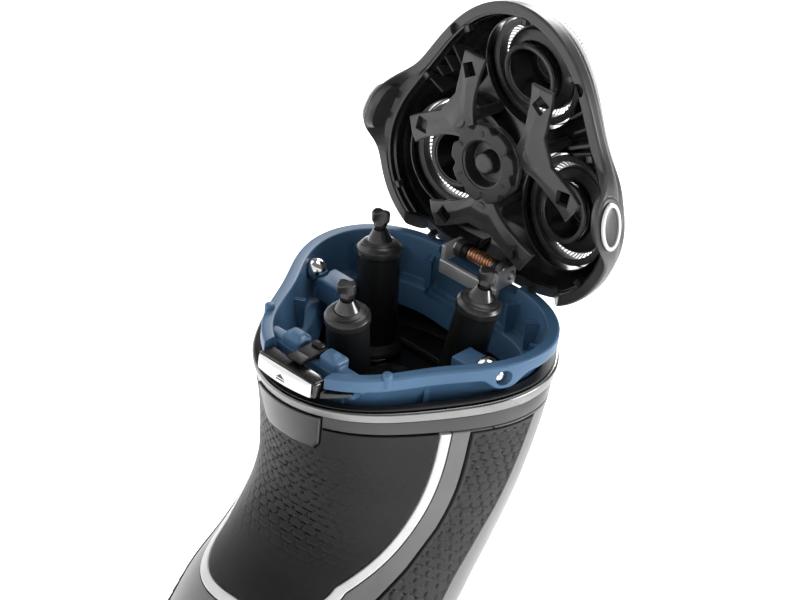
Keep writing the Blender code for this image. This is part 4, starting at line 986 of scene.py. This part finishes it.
def build_release():
    """The black sliding release with its white face, arrow mark and latch catch."""
    body = box((-6.8, -28.3, -8.6), (6.8, -25.0, -5.5), 0.5, 4)
    piece("release", body, CHAMBER, "black", "release", ["release_button"])
    turn = np.linspace(14.5, 25.0, 24)
    share = (turn - turn[0]) / (turn[-1] - turn[0])
    rings = []
    for inset, rise in ((-0.5, 0.15), (-0.5, 0.85), (0.1, 1.0), (1.5, 1.0), (1.5, 0.0), (0.0, 0.0)):
        x, y = outline(CHAMBER_OUTLINE, inset + 0.7 * share * (inset < 0.5), turn)
        rings.append(np.stack((x, y, -8.75 + 0.9 * share + 1.5 * (1.0 - 0.6 * share) * rise), -1))
    rings = np.array(rings).swapaxes(0, 1)
    mirror = np.array((-1.0, 1.0, 1.0))
    piece("release_wings", merge(loft(rings), loft(rings * mirror)), CHAMBER, "black", "chamber")
    across = np.linspace(-1.0, 1.0, 61)
    low, high = -8.2, -5.5
    down = low + (high - low) * fine_steps(10, 0.16)
    z, u = np.meshgrid(down, across, indexing="ij")
    gap = np.minimum(np.minimum(z - low, high - z), (1.0 - np.abs(u)) * 6.2)
    bow = 0.018 * (6.2 * u) ** 2
    outer = np.stack((6.2 * u, -29.8 + bow + edge_roll(gap, 0.45), z), -1)
    inner = np.stack((6.2 * u, np.full_like(u, -28.7), z), -1)
    piece("release_face", slab(outer, inner), CHAMBER, "white", "release", ["button_face"])
    arrow = [(-0.95, -6.9), (0.95, -6.9), (0.0, -6.1)]
    bar = [(-0.95, -7.4), (0.95, -7.4), (0.95, -7.15), (-0.95, -7.15)]
    marks = []
    for shape in (arrow, bar):
        flat = prism(shape, 0.0, 0.12, 0.0)
        turn = Matrix(((1, 0, 0), (0, 0, -1), (0, 1, 0))).to_4x4()
        bmesh.ops.transform(flat, matrix=Matrix.Translation((0.0, -29.72, 0.0)) @ turn, verts=flat.verts)
        marks.append(flat)
    piece("release_mark", merge(*marks), CHAMBER, "black", "release", finish=MARK)
    catch = merge(box((-1.8, -24.6, -5.1), (1.8, -19.8, -4.1), 0.4),
                  box((-1.6, -26.6, -5.0), (1.6, -24.0, -4.2), 0.2),
                  box((-1.2, -21.4, -4.4), (1.2, -20.0, -3.5), 0.35))
    piece("catch", catch, CHAMBER, "black", "release", ["latch_catch"], finish=MATT_BLACK)


def build_hinge():
    """Steel bracket, sleeved pin and copper coil."""
    plate = as_object("bracket", box((-6.9, 17.9, -7.6), (6.9, 18.9, -4.9), 0.2), CHAMBER)
    for side in (1.0, -1.0):
        fuse(plate, CHAMBER, side_box(side, (6.0, 18.1, -5.3), (6.9, 23.1, -1.9), 0.25))
    cut(plate, CHAMBER, rod(HINGE_BORE, -9, 9, 48, axis="X", at=HINGE_AT))
    dress(plate, "steel", "chamber", ["hinge_bracket"], finish=SATIN_STEEL)
    pin = lathe([(0, -7.7), (0.4, -7.7), (0.65, -7.4), (0.65, 7.4), (0.4, 7.7), (0, 7.7)], 0.15, 48, axis="X",
                at=HINGE_AT)
    piece("pin", pin, CHAMBER, "steel", "chamber", ["hinge_pin"], finish=SATIN_STEEL)
    turns, sides = 9, 12
    t = np.linspace(0.0, 1.0, turns * 36 + 1)
    path = np.stack((-2.85 + 5.7 * t, HINGE_Y + 1.08 * np.cos(2 * pi * turns * t),
                     HINGE_Z + 1.08 * np.sin(2 * pi * turns * t)), -1)
    piece("coil", tube(path, 0.18, sides), CHAMBER, "copper", "chamber", ["hinge_spring"])
    for side, word in ((1.0, "right"), (-1.0, "left")):
        low, high = sorted((side * 3.05, side * 3.95))
        sleeve = lathe([(0.7, low), (1.4, low), (1.4, high), (0.7, high)], 0.2, 48, True, axis="X",
                       at=HINGE_AT)
        piece("sleeve_" + word, sleeve, CHAMBER, "black", "chamber", finish=MATT_BLACK)
        low, high = sorted((side * 5.68, side * 5.95))
        shim = lathe([(0.7, low), (1.5, low), (1.5, high), (0.7, high)], 0.1, 48, True, axis="X", at=HINGE_AT)
        piece("shim_" + word, shim, CHAMBER, "steel", "chamber", finish=POLISHED)


# ---------------------------------------------------------------- head
def head_ring(inset, height, count=360):
    """A ring of the head outline, in the head frame; its corners grow with height."""
    centre, radius, corner, long = HEAD_OUTLINE
    shape = (centre - HINGE_Y, radius, corner + HEAD_LOBE * max(float(np.min(height)), 0.0), long)
    return outline_ring(shape, inset, height, count)


def ear_swell(height, count=360):
    """How far the cover's wall swells out round each ear."""
    away = np.abs(np.linspace(-180.0, 180.0, count, endpoint=False)) - 90.0
    near = 1.6 * np.exp(-((away + 10.0) / 10.0) ** 2) + 1.05 * np.exp(-((away - 9.0) / 10.0) ** 2)
    return near * np.clip(1.0 - np.maximum(height, 0.0) / 7.0, 0.0, 1.0)


def ear_hang(inset, height, count=360):
    """How far the cover's edge hangs below its rim at each ear."""
    away = np.abs(np.linspace(-180.0, 180.0, count, endpoint=False)) - 90.0
    lobe = np.exp(-(np.abs(away + 0.5) / 14.5) ** 3.0)
    share = 0.0 if inset > 1.2 else np.clip(1.0 - (height - RIM_N) / 4.0, 0.0, 1.0)
    return 5.3 * lobe * share


def guard_tools(low, radius=10.4):
    """Cutters for the three guard openings."""
    return [as_object("hole", rod(radius, low, 14, 96), CUTTER[word]) for word in TOWERS]


def closed_shell(outer, inner, swell=False):
    """A cup: outer rings up to a cap, then inner rings back to the rim."""
    rings = []
    for inset, height in outer:
        ring = head_ring(inset - (ear_swell(height) if swell else 0.0), height)
        ring[:, 2] -= ear_hang(inset, height) if swell else 0.0
        rings.append(ring)
    rings += [head_ring(inset, height) for inset, height in inner]
    rings = np.array(rings)
    rows, cols = rings.shape[:2]
    faces = grid_faces(rows, cols, True, True)
    cap = len(outer) - 1
    faces = faces[:cap * cols] + faces[(cap + 1) * cols:]
    faces += [tuple(range(k * cols, (k + 1) * cols)) for k in (cap, cap + 1)]
    return mesh_from(rings.reshape(-1, 3), faces)


def notch_tool(grow):
    """The cut along the hinge side, with sloping ends."""
    shape = ((-18.9, -9.0), (-18.9, -1.2), (-15.5, 2.3), (15.5, 2.3), (18.9, -1.2), (18.9, -9.0))
    rings = [[(x * (1.0 + 0.01 * grow), y, z + grow) for x, z in shape] for y in (-1.5 - grow, 9.0)]
    return loft(rings)


def build_cover():
    """The rounded cover with its ears and lugs, and then its liner."""
    outer = rounded([(2.0, RIM_N), (0.35, RIM_N), (0.05, -0.5), (0.25, 1.2), (0.55, 2.0), (1.0, 2.35),
                     (1.05, 2.75), (1.25, 3.3), (2.5, 5.3), (4.2, 7.4), (6.4, 9.1), (8.9, 9.9), (16.0, 9.9)],
                    0.3)
    inner = rounded([(16.0, 8.4), (7.6, 8.4), (5.6, 6.8), (3.9, 4.8), (2.7, 2.6), (2.0, -0.6)], 0.4)
    cover = as_object("cover", closed_shell(outer, inner, True), HEAD)
    cut(cover, HEAD, notch_tool(0.0))
    carve(cover, guard_tools(2.2))
    ear = ((25.6, 4.5, 2.5), (26.1, 4.85, 2.86), (26.8, 5.0, 3.1), (27.2, 5.0, 3.06), (27.5, 4.85, 2.92),
           (27.64, 4.6, 2.74), (27.68, 4.3, 2.56))
    for side in (1.0, -1.0):
        fuse(cover, HEAD, loft([oval(side, *size, 1.35) for size in ear]))
        cut(cover, HEAD, rod(1.25, -3.0, 0.3, 40, at=(side * PEG_X, PEG_Y - HINGE_Y, 0.0)))
        low, high = sorted((side * 4.2, side * 5.6))
        lug = rod(1.75, low, high, 64, 0.2, axis="X")
        arm = box((low + 0.15, -1.1, 0.9), (high - 0.15, 1.0, 4.4), 0.2)
        fuse(cover, HEAD, lug, arm)
    cut(cover, HEAD, rod(HINGE_BORE, -9, 9, 48, axis="X"))
    dress(cover, "head_grey", "head", ["head_cover"])
    build_liner()


def build_liner():
    """The black inside of the cover, with small tabs, ribs and collars."""
    skinned = rounded([(2.06, -0.6), (2.45, -0.5), (2.6, 0.4), (3.0, 0.7), (3.0, 1.1), (2.9, 1.2),
                       (3.15, 2.6), (4.3, 4.7), (6.0, 6.6), (7.9, 8.1), (16.0, 8.1)], 0.12)
    behind = [(16.0, 8.3), (7.7, 8.3), (5.7, 6.7), (4.0, 4.75), (2.8, 2.6), (2.06, 0.0)]
    liner = as_object("liner", closed_shell(skinned, behind), HEAD)
    carve(liner, guard_tools(2.0, 10.6))
    cut(liner, HEAD, notch_tool(0.2))
    dress(liner, "black", "head")
    centre, radius, corner, long = HEAD_OUTLINE
    shape = (centre - HINGE_Y, radius, corner, long)
    bits = [radial_block(outline(shape, 2.3, turn), outline(shape, 3.5, turn), 0.6, -0.8, 0.6, 0.18)
            for turn in (-150, -124, -66, -30, 0, 30, 66, 124, 150)]
    piece("tabs", merge(*bits), HEAD, "head_grey", "head", finish=DARK_PLASTIC)
    bits = []
    for turn, start, reach, half, low, high in (
            (-44, 3.0, 6.6, 0.18, 0.5, 5.0), (-52, 3.0, 6.2, 0.18, 0.5, 5.0), (-60, 3.0, 5.0, 0.18, 0.5, 5.0),
            (44, 3.0, 6.6, 0.18, 0.5, 5.0), (52, 3.0, 6.2, 0.18, 0.5, 5.0), (60, 3.0, 8.0, 0.3, 0.4, 4.0),
            (64, 3.0, 7.4, 0.18, 0.5, 5.0), (-68, 3.0, 7.0, 0.18, 0.5, 5.0), (171, 3.0, 5.4, 0.18, 2.7, 6.0),
            (-171, 3.0, 5.4, 0.18, 2.7, 6.0)):
        first, second = outline(shape, start, turn), outline(shape, reach, turn)
        bits.append(radial_block(first, second, half, low, high, 0.15))
    piece("ribs", merge(*bits), HEAD, "head_grey", "head")
    for word in TOWERS:
        collar = lathe([(10.5, 1.2), (10.82, 1.2), (10.82, 5.0), (10.5, 5.0)], 0.1, 128, True)
        piece("collar_" + word, collar, CUTTER[word], "black", "head", finish=GLOSS_BLACK)


def radial_block(first, second, half, low, high, bevel):
    """A bar between two flat points, with a half width and rounded edges."""
    along = Vector((second[0] - first[0], second[1] - first[1])).normalized()
    across = Vector((-along.y, along.x)) * half
    corners = [(first[0] - across.x, first[1] - across.y), (second[0] - across.x, second[1] - across.y),
               (second[0] + across.x, second[1] + across.y), (first[0] + across.x, first[1] + across.y)]
    return prism(corners, low, high, bevel)


def oval(side, depth, half_y, half_n, rise=1.0, count=96):
    """A ring round an ear's centre in the head frame, slanted to follow the wall."""
    turn = np.linspace(0.0, 2 * pi, count, endpoint=False)
    across, up = half_y * np.cos(turn), half_n * np.sin(turn)
    return np.stack((side * (depth + 0.24 * across), 1.2 - HINGE_Y + across,
                     -3.1 + up * np.where(up > 0, rise, 1.0)), -1)


def build_badges():
    """Silver oval rings with plain dark centres."""
    for side, word in ((1.0, "right"), (-1.0, "left")):
        sizes = ((28.0, 4.15, 2.58), (28.32, 4.15, 2.58), (28.42, 4.05, 2.48), (28.46, 3.9, 2.34),
                 (28.44, 3.6, 2.04), (28.38, 3.5, 1.94), (28.12, 3.46, 1.9), (28.0, 3.46, 1.9))
        piece("badge_ring_" + word, loft([oval(side, *size) for size in sizes], True), HEAD, "silver", "head",
              ["badge_" + word])
        sizes = ((27.6, 3.44, 1.88), (28.12, 3.44, 1.88), (28.18, 3.2, 1.68), (28.24, 2.1, 1.0),
                 (28.26, 0.6, 0.3))
        piece("badge_face_" + word, loft([oval(side, *size) for size in sizes]), HEAD, "head_grey", "head",
              finish=DARK_PLASTIC)


def build_guards():
    """Slotted steel guards with cutters behind them."""
    turn = np.linspace(0.0, 2 * pi, 84, endpoint=False)
    path = rounded([(5.3, 7.3), (5.7, 7.72), (8.3, 7.7), (9.25, 7.15), (9.78, 6.2), (9.78, 5.0)], 0.5)
    section = ((0, -0.15, 0), (0, 0.15, 0), (0.22, 0.12, 0.3), (0.22, -0.12, 0.3))
    for word in TOWERS:
        place = CUTTER[word]
        skirt = lathe([(9.1, 2.6), (9.1, 5.3), (10.0, 5.3), (10.0, 2.6)], 0.12, 128, True)
        lip = lathe([(9.15, 2.62), (9.15, 3.2), (8.75, 3.2), (8.75, 2.62)], 0.1, 128, True)
        hub = lathe([(0.0, 7.0), (5.2, 7.0), (5.65, 7.3), (5.65, 7.88), (5.1, 7.6), (4.6, 7.9), (0.0, 7.9)],
                    0.12, 96)
        bars = []
        for angle in turn:
            c, s = cos(angle), sin(angle)
            ring = []
            for r, h in path:
                ring.append([((r - a) * c - b * s, (r - a) * s + b * c, h - d)
                             for a, b, d in section])
            bars.append(loft(ring))
        bm = merge(hub, *bars)
        piece("guard_steel_" + word, bm, place, "steel", "guard_" + word, ["guard_" + word])
        bm = merge(skirt, lip)
        piece("guard_skirt_" + word, bm, place, "steel", "guard_" + word, finish=DARK_METAL)
        cup = lathe([(4.7, 0.8), (3.4, 4.0), (3.0, 4.8), (3.0, 6.5), (6.0, 6.55), (6.0, 6.3), (7.2, 6.3),
                     (7.2, 6.55), (8.0, 6.6), (8.0, 5.8), (6.2, 5.5), (5.6, 5.0), (5.9, 0.8)], 0.15, 96, True)
        piece("cup_" + word + "_cutter", cup, place, "frame_grey", "cutter_" + word, ["cutter_" + word],
              finish=GLOSS_BLACK)
        spokes = [rod(1.2, 6.5, 6.9, 48, 0.1)]
        for k in range(3):
            angle = 2 * pi * k / 3
            wedge = [(reach * cos(angle + off), reach * sin(angle + off))
                     for reach, off in ((0.6, -1.0), (3.2, -0.36), (3.3, 0.0), (3.2, 0.36), (0.6, 1.0))]
            spokes.append(prism(wedge, 6.5, 6.86, 0.12))
        shroud = lathe([(5.7, 2.8), (7.6, 3.6), (8.0, 4.6), (7.9, 5.2), (7.4, 5.4), (7.0, 4.6), (5.8, 4.0)],
                       0.2, 96, True)
        piece("shroud_" + word, shroud, place, "frame_grey", "cutter_" + word, finish=DARK_METAL)
        rim = lathe([(2.7, 6.2), (3.3, 6.2), (3.3, 6.84), (2.7, 6.84)], 0.1, 64, True)
        band = lathe([(5.0, 0.55), (5.75, 0.55), (5.85, 1.1), (4.75, 1.1)], 0.1, 96, True)
        blades = [radial_block((5.8 * cos(a), 5.8 * sin(a)), (7.9 * cos(a + 0.12), 7.9 * sin(a + 0.12)), 0.14,
                               6.4, 6.9, 0.05) for a in np.linspace(0, 2 * pi, 18, endpoint=False)]
        piece("hub_" + word, merge(rim, *spokes), place, "frame_grey", "cutter_" + word)
        piece("blades_" + word, merge(*blades), place, "steel", "cutter_" + word)
        piece("mouth_" + word, band, place, "frame_grey", "cutter_" + word, finish=DARK_PLASTIC)


def plate_height(reach, turn):
    """How far a retaining plate bends towards the cover away from its hub."""
    arm = smooth_step(reach, 11.5, 18.5)
    hump = np.exp(-((reach - 9.8) / 1.8) ** 2 - (turn / 14.0) ** 2)
    return 0.55 * arm - 0.35 * hump


def build_retainer():
    """Three bent plates with square holes on a central ring, and their posts."""
    centre_y = FRAME_CENTRE_Y - HINGE_Y
    low, high = FRAME_LOW, FRAME_LOW + 1.2
    ring = lathe([(5.2, low), (6.9, low), (6.9, high), (5.2, high)], 0.25, 128, True, at=(0.0, centre_y, 0.0))
    near = np.array(((6.6, 0.0), (6.6, 14.0), (8.4, 20.0), (13.6, 34.0), (18.3, 43.0)))
    far = np.array(((13.6, 0.0), (13.8, 11.0), (16.2, 20.0), (18.4, 25.5), (20.2, 29.5)))
    knots = np.array((0.0, 0.22, 0.5, 0.75, 1.0))
    pieces = [ring]
    for angle in (-30.0, 90.0, 210.0):
        t = 2.0 * fine_steps(64, 0.008) - 1.0
        u = fine_steps(22, 0.05)
        edge = [[np.interp(np.abs(t), knots, line[:, k]) for k in (0, 1)] for line in (near, far)]
        to_flat = []
        for reach, turn in edge:
            where = np.radians(angle + turn * np.sign(t))
            to_flat.append(np.stack((reach * np.cos(where), reach * np.sin(where)), -1))
        flat = to_flat[0][:, None] * (1.0 - u)[None, :, None] + to_flat[1][:, None] * u[None, :, None]
        width = np.linalg.norm(to_flat[1] - to_flat[0], axis=1)[:, None]
        gap = np.minimum(np.minimum(u, 1.0 - u)[None, :] * width, (1.0 - np.abs(t))[:, None] * 13.0)
        reach = np.hypot(flat[..., 0], flat[..., 1])
        turn = np.degrees(np.arctan2(flat[..., 1], flat[..., 0])) - angle
        turn = (turn + 180.0) % 360.0 - 180.0
        rise = plate_height(reach, turn)
        crease = 0.30 * np.clip(1.0 - np.abs(u - 0.45)[None, :] * width / 2.2, 0.0, 1.0)
        drop = edge_roll(gap, 0.3)
        under = low + 0.1 + rise + drop - crease + 0.25
        bottom = np.stack((flat[..., 0], flat[..., 1] + centre_y, under), -1)
        top = np.stack((flat[..., 0], flat[..., 1] + centre_y, high + 0.1 + rise - 0.3 * drop), -1)
        plate = as_object("plate", slab(bottom, top), HEAD)
        for turn in (-SQUARE_TURN, SQUARE_TURN):
            x, y = deck_xy(angle + turn * 1.07, SQUARE_RADIUS, centre_y)
            spin = Matrix.Translation((x, y, 0.0)) @ Matrix.Rotation(radians(angle + turn), 4, "Z")
            hole = box((-1.3, -1.3, low - 2.0), (1.3, 1.3, high + 3.0))
            bmesh.ops.transform(hole, matrix=spin, verts=hole.verts)
            cut(plate, HEAD, hole)
        bm = bmesh.new()
        bm.from_mesh(plate.data)
        back = (HEAD @ Matrix.Scale(MM, 4)).inverted()
        bmesh.ops.transform(bm, matrix=back, verts=bm.verts)
        bpy.data.objects.remove(plate)
        pieces.append(bm)
        x, y = deck_xy(angle, 9.4, centre_y)
        pieces.append(rod(1.0, high - 0.4, 7.9, 48, 0.15, at=(x, y, 0.0)))
        knob = [(0, low - 0.15), (1.3, low - 0.15), (1.6, high), (0, high)]
        pieces.append(lathe(knob, 0.3, 48, at=(x, y, 0.0)))
        for turn in (-16.0, 16.0):
            first = deck_xy(angle + turn, 8.6, centre_y)
            second = deck_xy(angle + turn * 0.6, 12.0, centre_y)
            pieces.append(radial_block(first, second, 0.35, high - 0.2, high + 1.8, 0.15))
    piece("retainer", merge(*pieces), HEAD, "frame_grey", "head", ["retaining_frame"])


def build_wheel():
    """The scalloped lock wheel with its recess, boss and small raised bars."""
    centre_y = FRAME_CENTRE_Y - HINGE_Y
    top = FRAME_LOW - 0.4
    turn = np.linspace(0.0, 2 * pi, 288, endpoint=False)
    reach = 7.2 - 0.8 * np.maximum(0.0, np.cos(9.0 * turn)) ** 1.4
    rings = []
    for tuck, height in rounded([(4.0, top), (0.0, top), (0.0, top - 1.5), (3.0, top - 1.5)], 0.35, steps=6):
        inner = reach - tuck
        rings.append(np.stack((inner * np.cos(turn), centre_y + inner * np.sin(turn),
                               np.full(288, height)), -1))
    wheel = as_object("wheel", loft(rings), HEAD)
    cut(wheel, HEAD, rod(4.6, top - 3.0, top + 3.0, 96, at=(0.0, centre_y, 0.0)))
    dress(wheel, "frame_grey", "wheel", ["lock_wheel"], finish=WHEEL_GREY)
    cup = lathe([(4.55, top - 1.35), (4.2, top - 1.2), (3.9, top + 1.2), (2.1, top + 1.2), (2.0, top - 0.9),
                 (1.7, top - 1.2), (0, top - 1.25), (0, top + 2.0), (4.75, top + 2.0), (4.75, top - 1.2)],
                0.2, 96, True, at=(0.0, centre_y, 0.0))
    piece("wheel_cup", cup, HEAD, "frame_grey", "wheel", finish=DARK_PLASTIC)
    marks = []
    for k in range(6):
        first, second = (deck_xy(60.0 * k + 20.0, reach, centre_y) for reach in (5.2, 6.1))
        marks.append(radial_block(first, second, 0.22, top - 1.62, top - 1.2, 0.08))
    piece("wheel_marks", merge(*marks), HEAD, "frame_grey", "wheel", finish=WHEEL_GREY)


# ---------------------------------------------------------------- carried-over solids
def dress_solids():
    """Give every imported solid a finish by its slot, including those that pieces stand for."""
    slots = {row["node"]: row["material_slot"] for row in frame["record"]["subparts"]}
    for name, node in frame["nodes"].items():
        for k in range(len(node.material_slots)):
            node.material_slots[k].material = FINISH[slots[name]]
        if not node.material_slots:
            node.data.materials.append(FINISH[slots[name]])


# ---------------------------------------------------------------- stage
def build_stage():
    """A pale bowl-shaped studio, soft lights and the camera."""
    profile = [(0.0, 0.0)] + [(r, 0.0) for r in np.linspace(0.2, 1.9, 12)]
    profile += [(1.9 + 0.6 * sin(t), 0.6 - 0.6 * cos(t)) for t in np.linspace(0.05, pi / 2, 16)]
    profile += [(2.5, 1.1)]
    angle = np.linspace(0.0, 2 * pi, 96, endpoint=False)
    points = [(r * c, r * s, h) for r, h in profile[1:] for c, s in zip(np.cos(angle), np.sin(angle))]
    faces = grid_faces(len(profile) - 1, 96, False, True) + [tuple(range(95, -1, -1))]
    mesh = bpy.data.meshes.new("studio")
    mesh.from_pydata(points, [], faces)
    mesh.shade_smooth()
    studio = bpy.data.objects.new("studio", mesh)
    bpy.context.scene.collection.objects.link(studio)
    paper = finish("paper", *grey(0.90, 0.93), 0.85, bump=0.02, grain=900.0, patch=3.0)
    fill(paper.node_tree.nodes["Principled BSDF"], {"Emission Color": WHITE, "Emission Strength": PAPER_GLOW})
    mesh.materials.append(paper)
    for name, place, size, power, on_backdrop in LIGHTS:
        data = bpy.data.lights.new(name, "AREA")
        data.shape = "DISK"
        data.size = size
        data.energy = power
        lamp = bpy.data.objects.new(name, data)
        bpy.context.scene.collection.objects.link(lamp)
        lamp.location = place
        target = BACKDROP if on_backdrop else LIGHT_AIM
        lamp.rotation_euler = (target - Vector(place)).to_track_quat("-Z", "Y").to_euler()
    bpy.context.scene.view_settings.view_transform = "Standard"
    world = bpy.data.worlds.new("studio")
    bpy.context.scene.world = world
    world.use_nodes = True
    fill(world.node_tree.nodes["Background"], {"Color": WHITE, "Strength": SKY_STRENGTH})
    data = bpy.data.cameras.new("camera")
    data.lens = CAMERA_LENS
    data.sensor_width = 36.0
    data.clip_start = 0.01
    camera = bpy.data.objects.new("camera", data)
    bpy.context.scene.collection.objects.link(camera)
    camera.matrix_world = CAMERA_PLACE
    bpy.context.scene.camera = camera


build_housing()
build_panel()
build_trim()
build_grips()
build_collar()
build_base()
build_deck()
build_towers()
build_pivots()
build_chamber()
build_release()
build_hinge()
build_cover()
build_badges()
build_guards()
build_retainer()
build_wheel()
dress_solids()
build_stage()

pieces = [item for item in bpy.data.objects if item.type == "MESH" and item.name != "studio"
          and item.name not in frame["nodes"]]
bpy.context.view_layer.update()
low, high = [1e9] * 3, [-1e9] * 3
for item in pieces:
    for vert in item.data.vertices:
        for k in range(3):
            low[k] = min(low[k], vert.co[k])
            high[k] = max(high[k], vert.co[k])
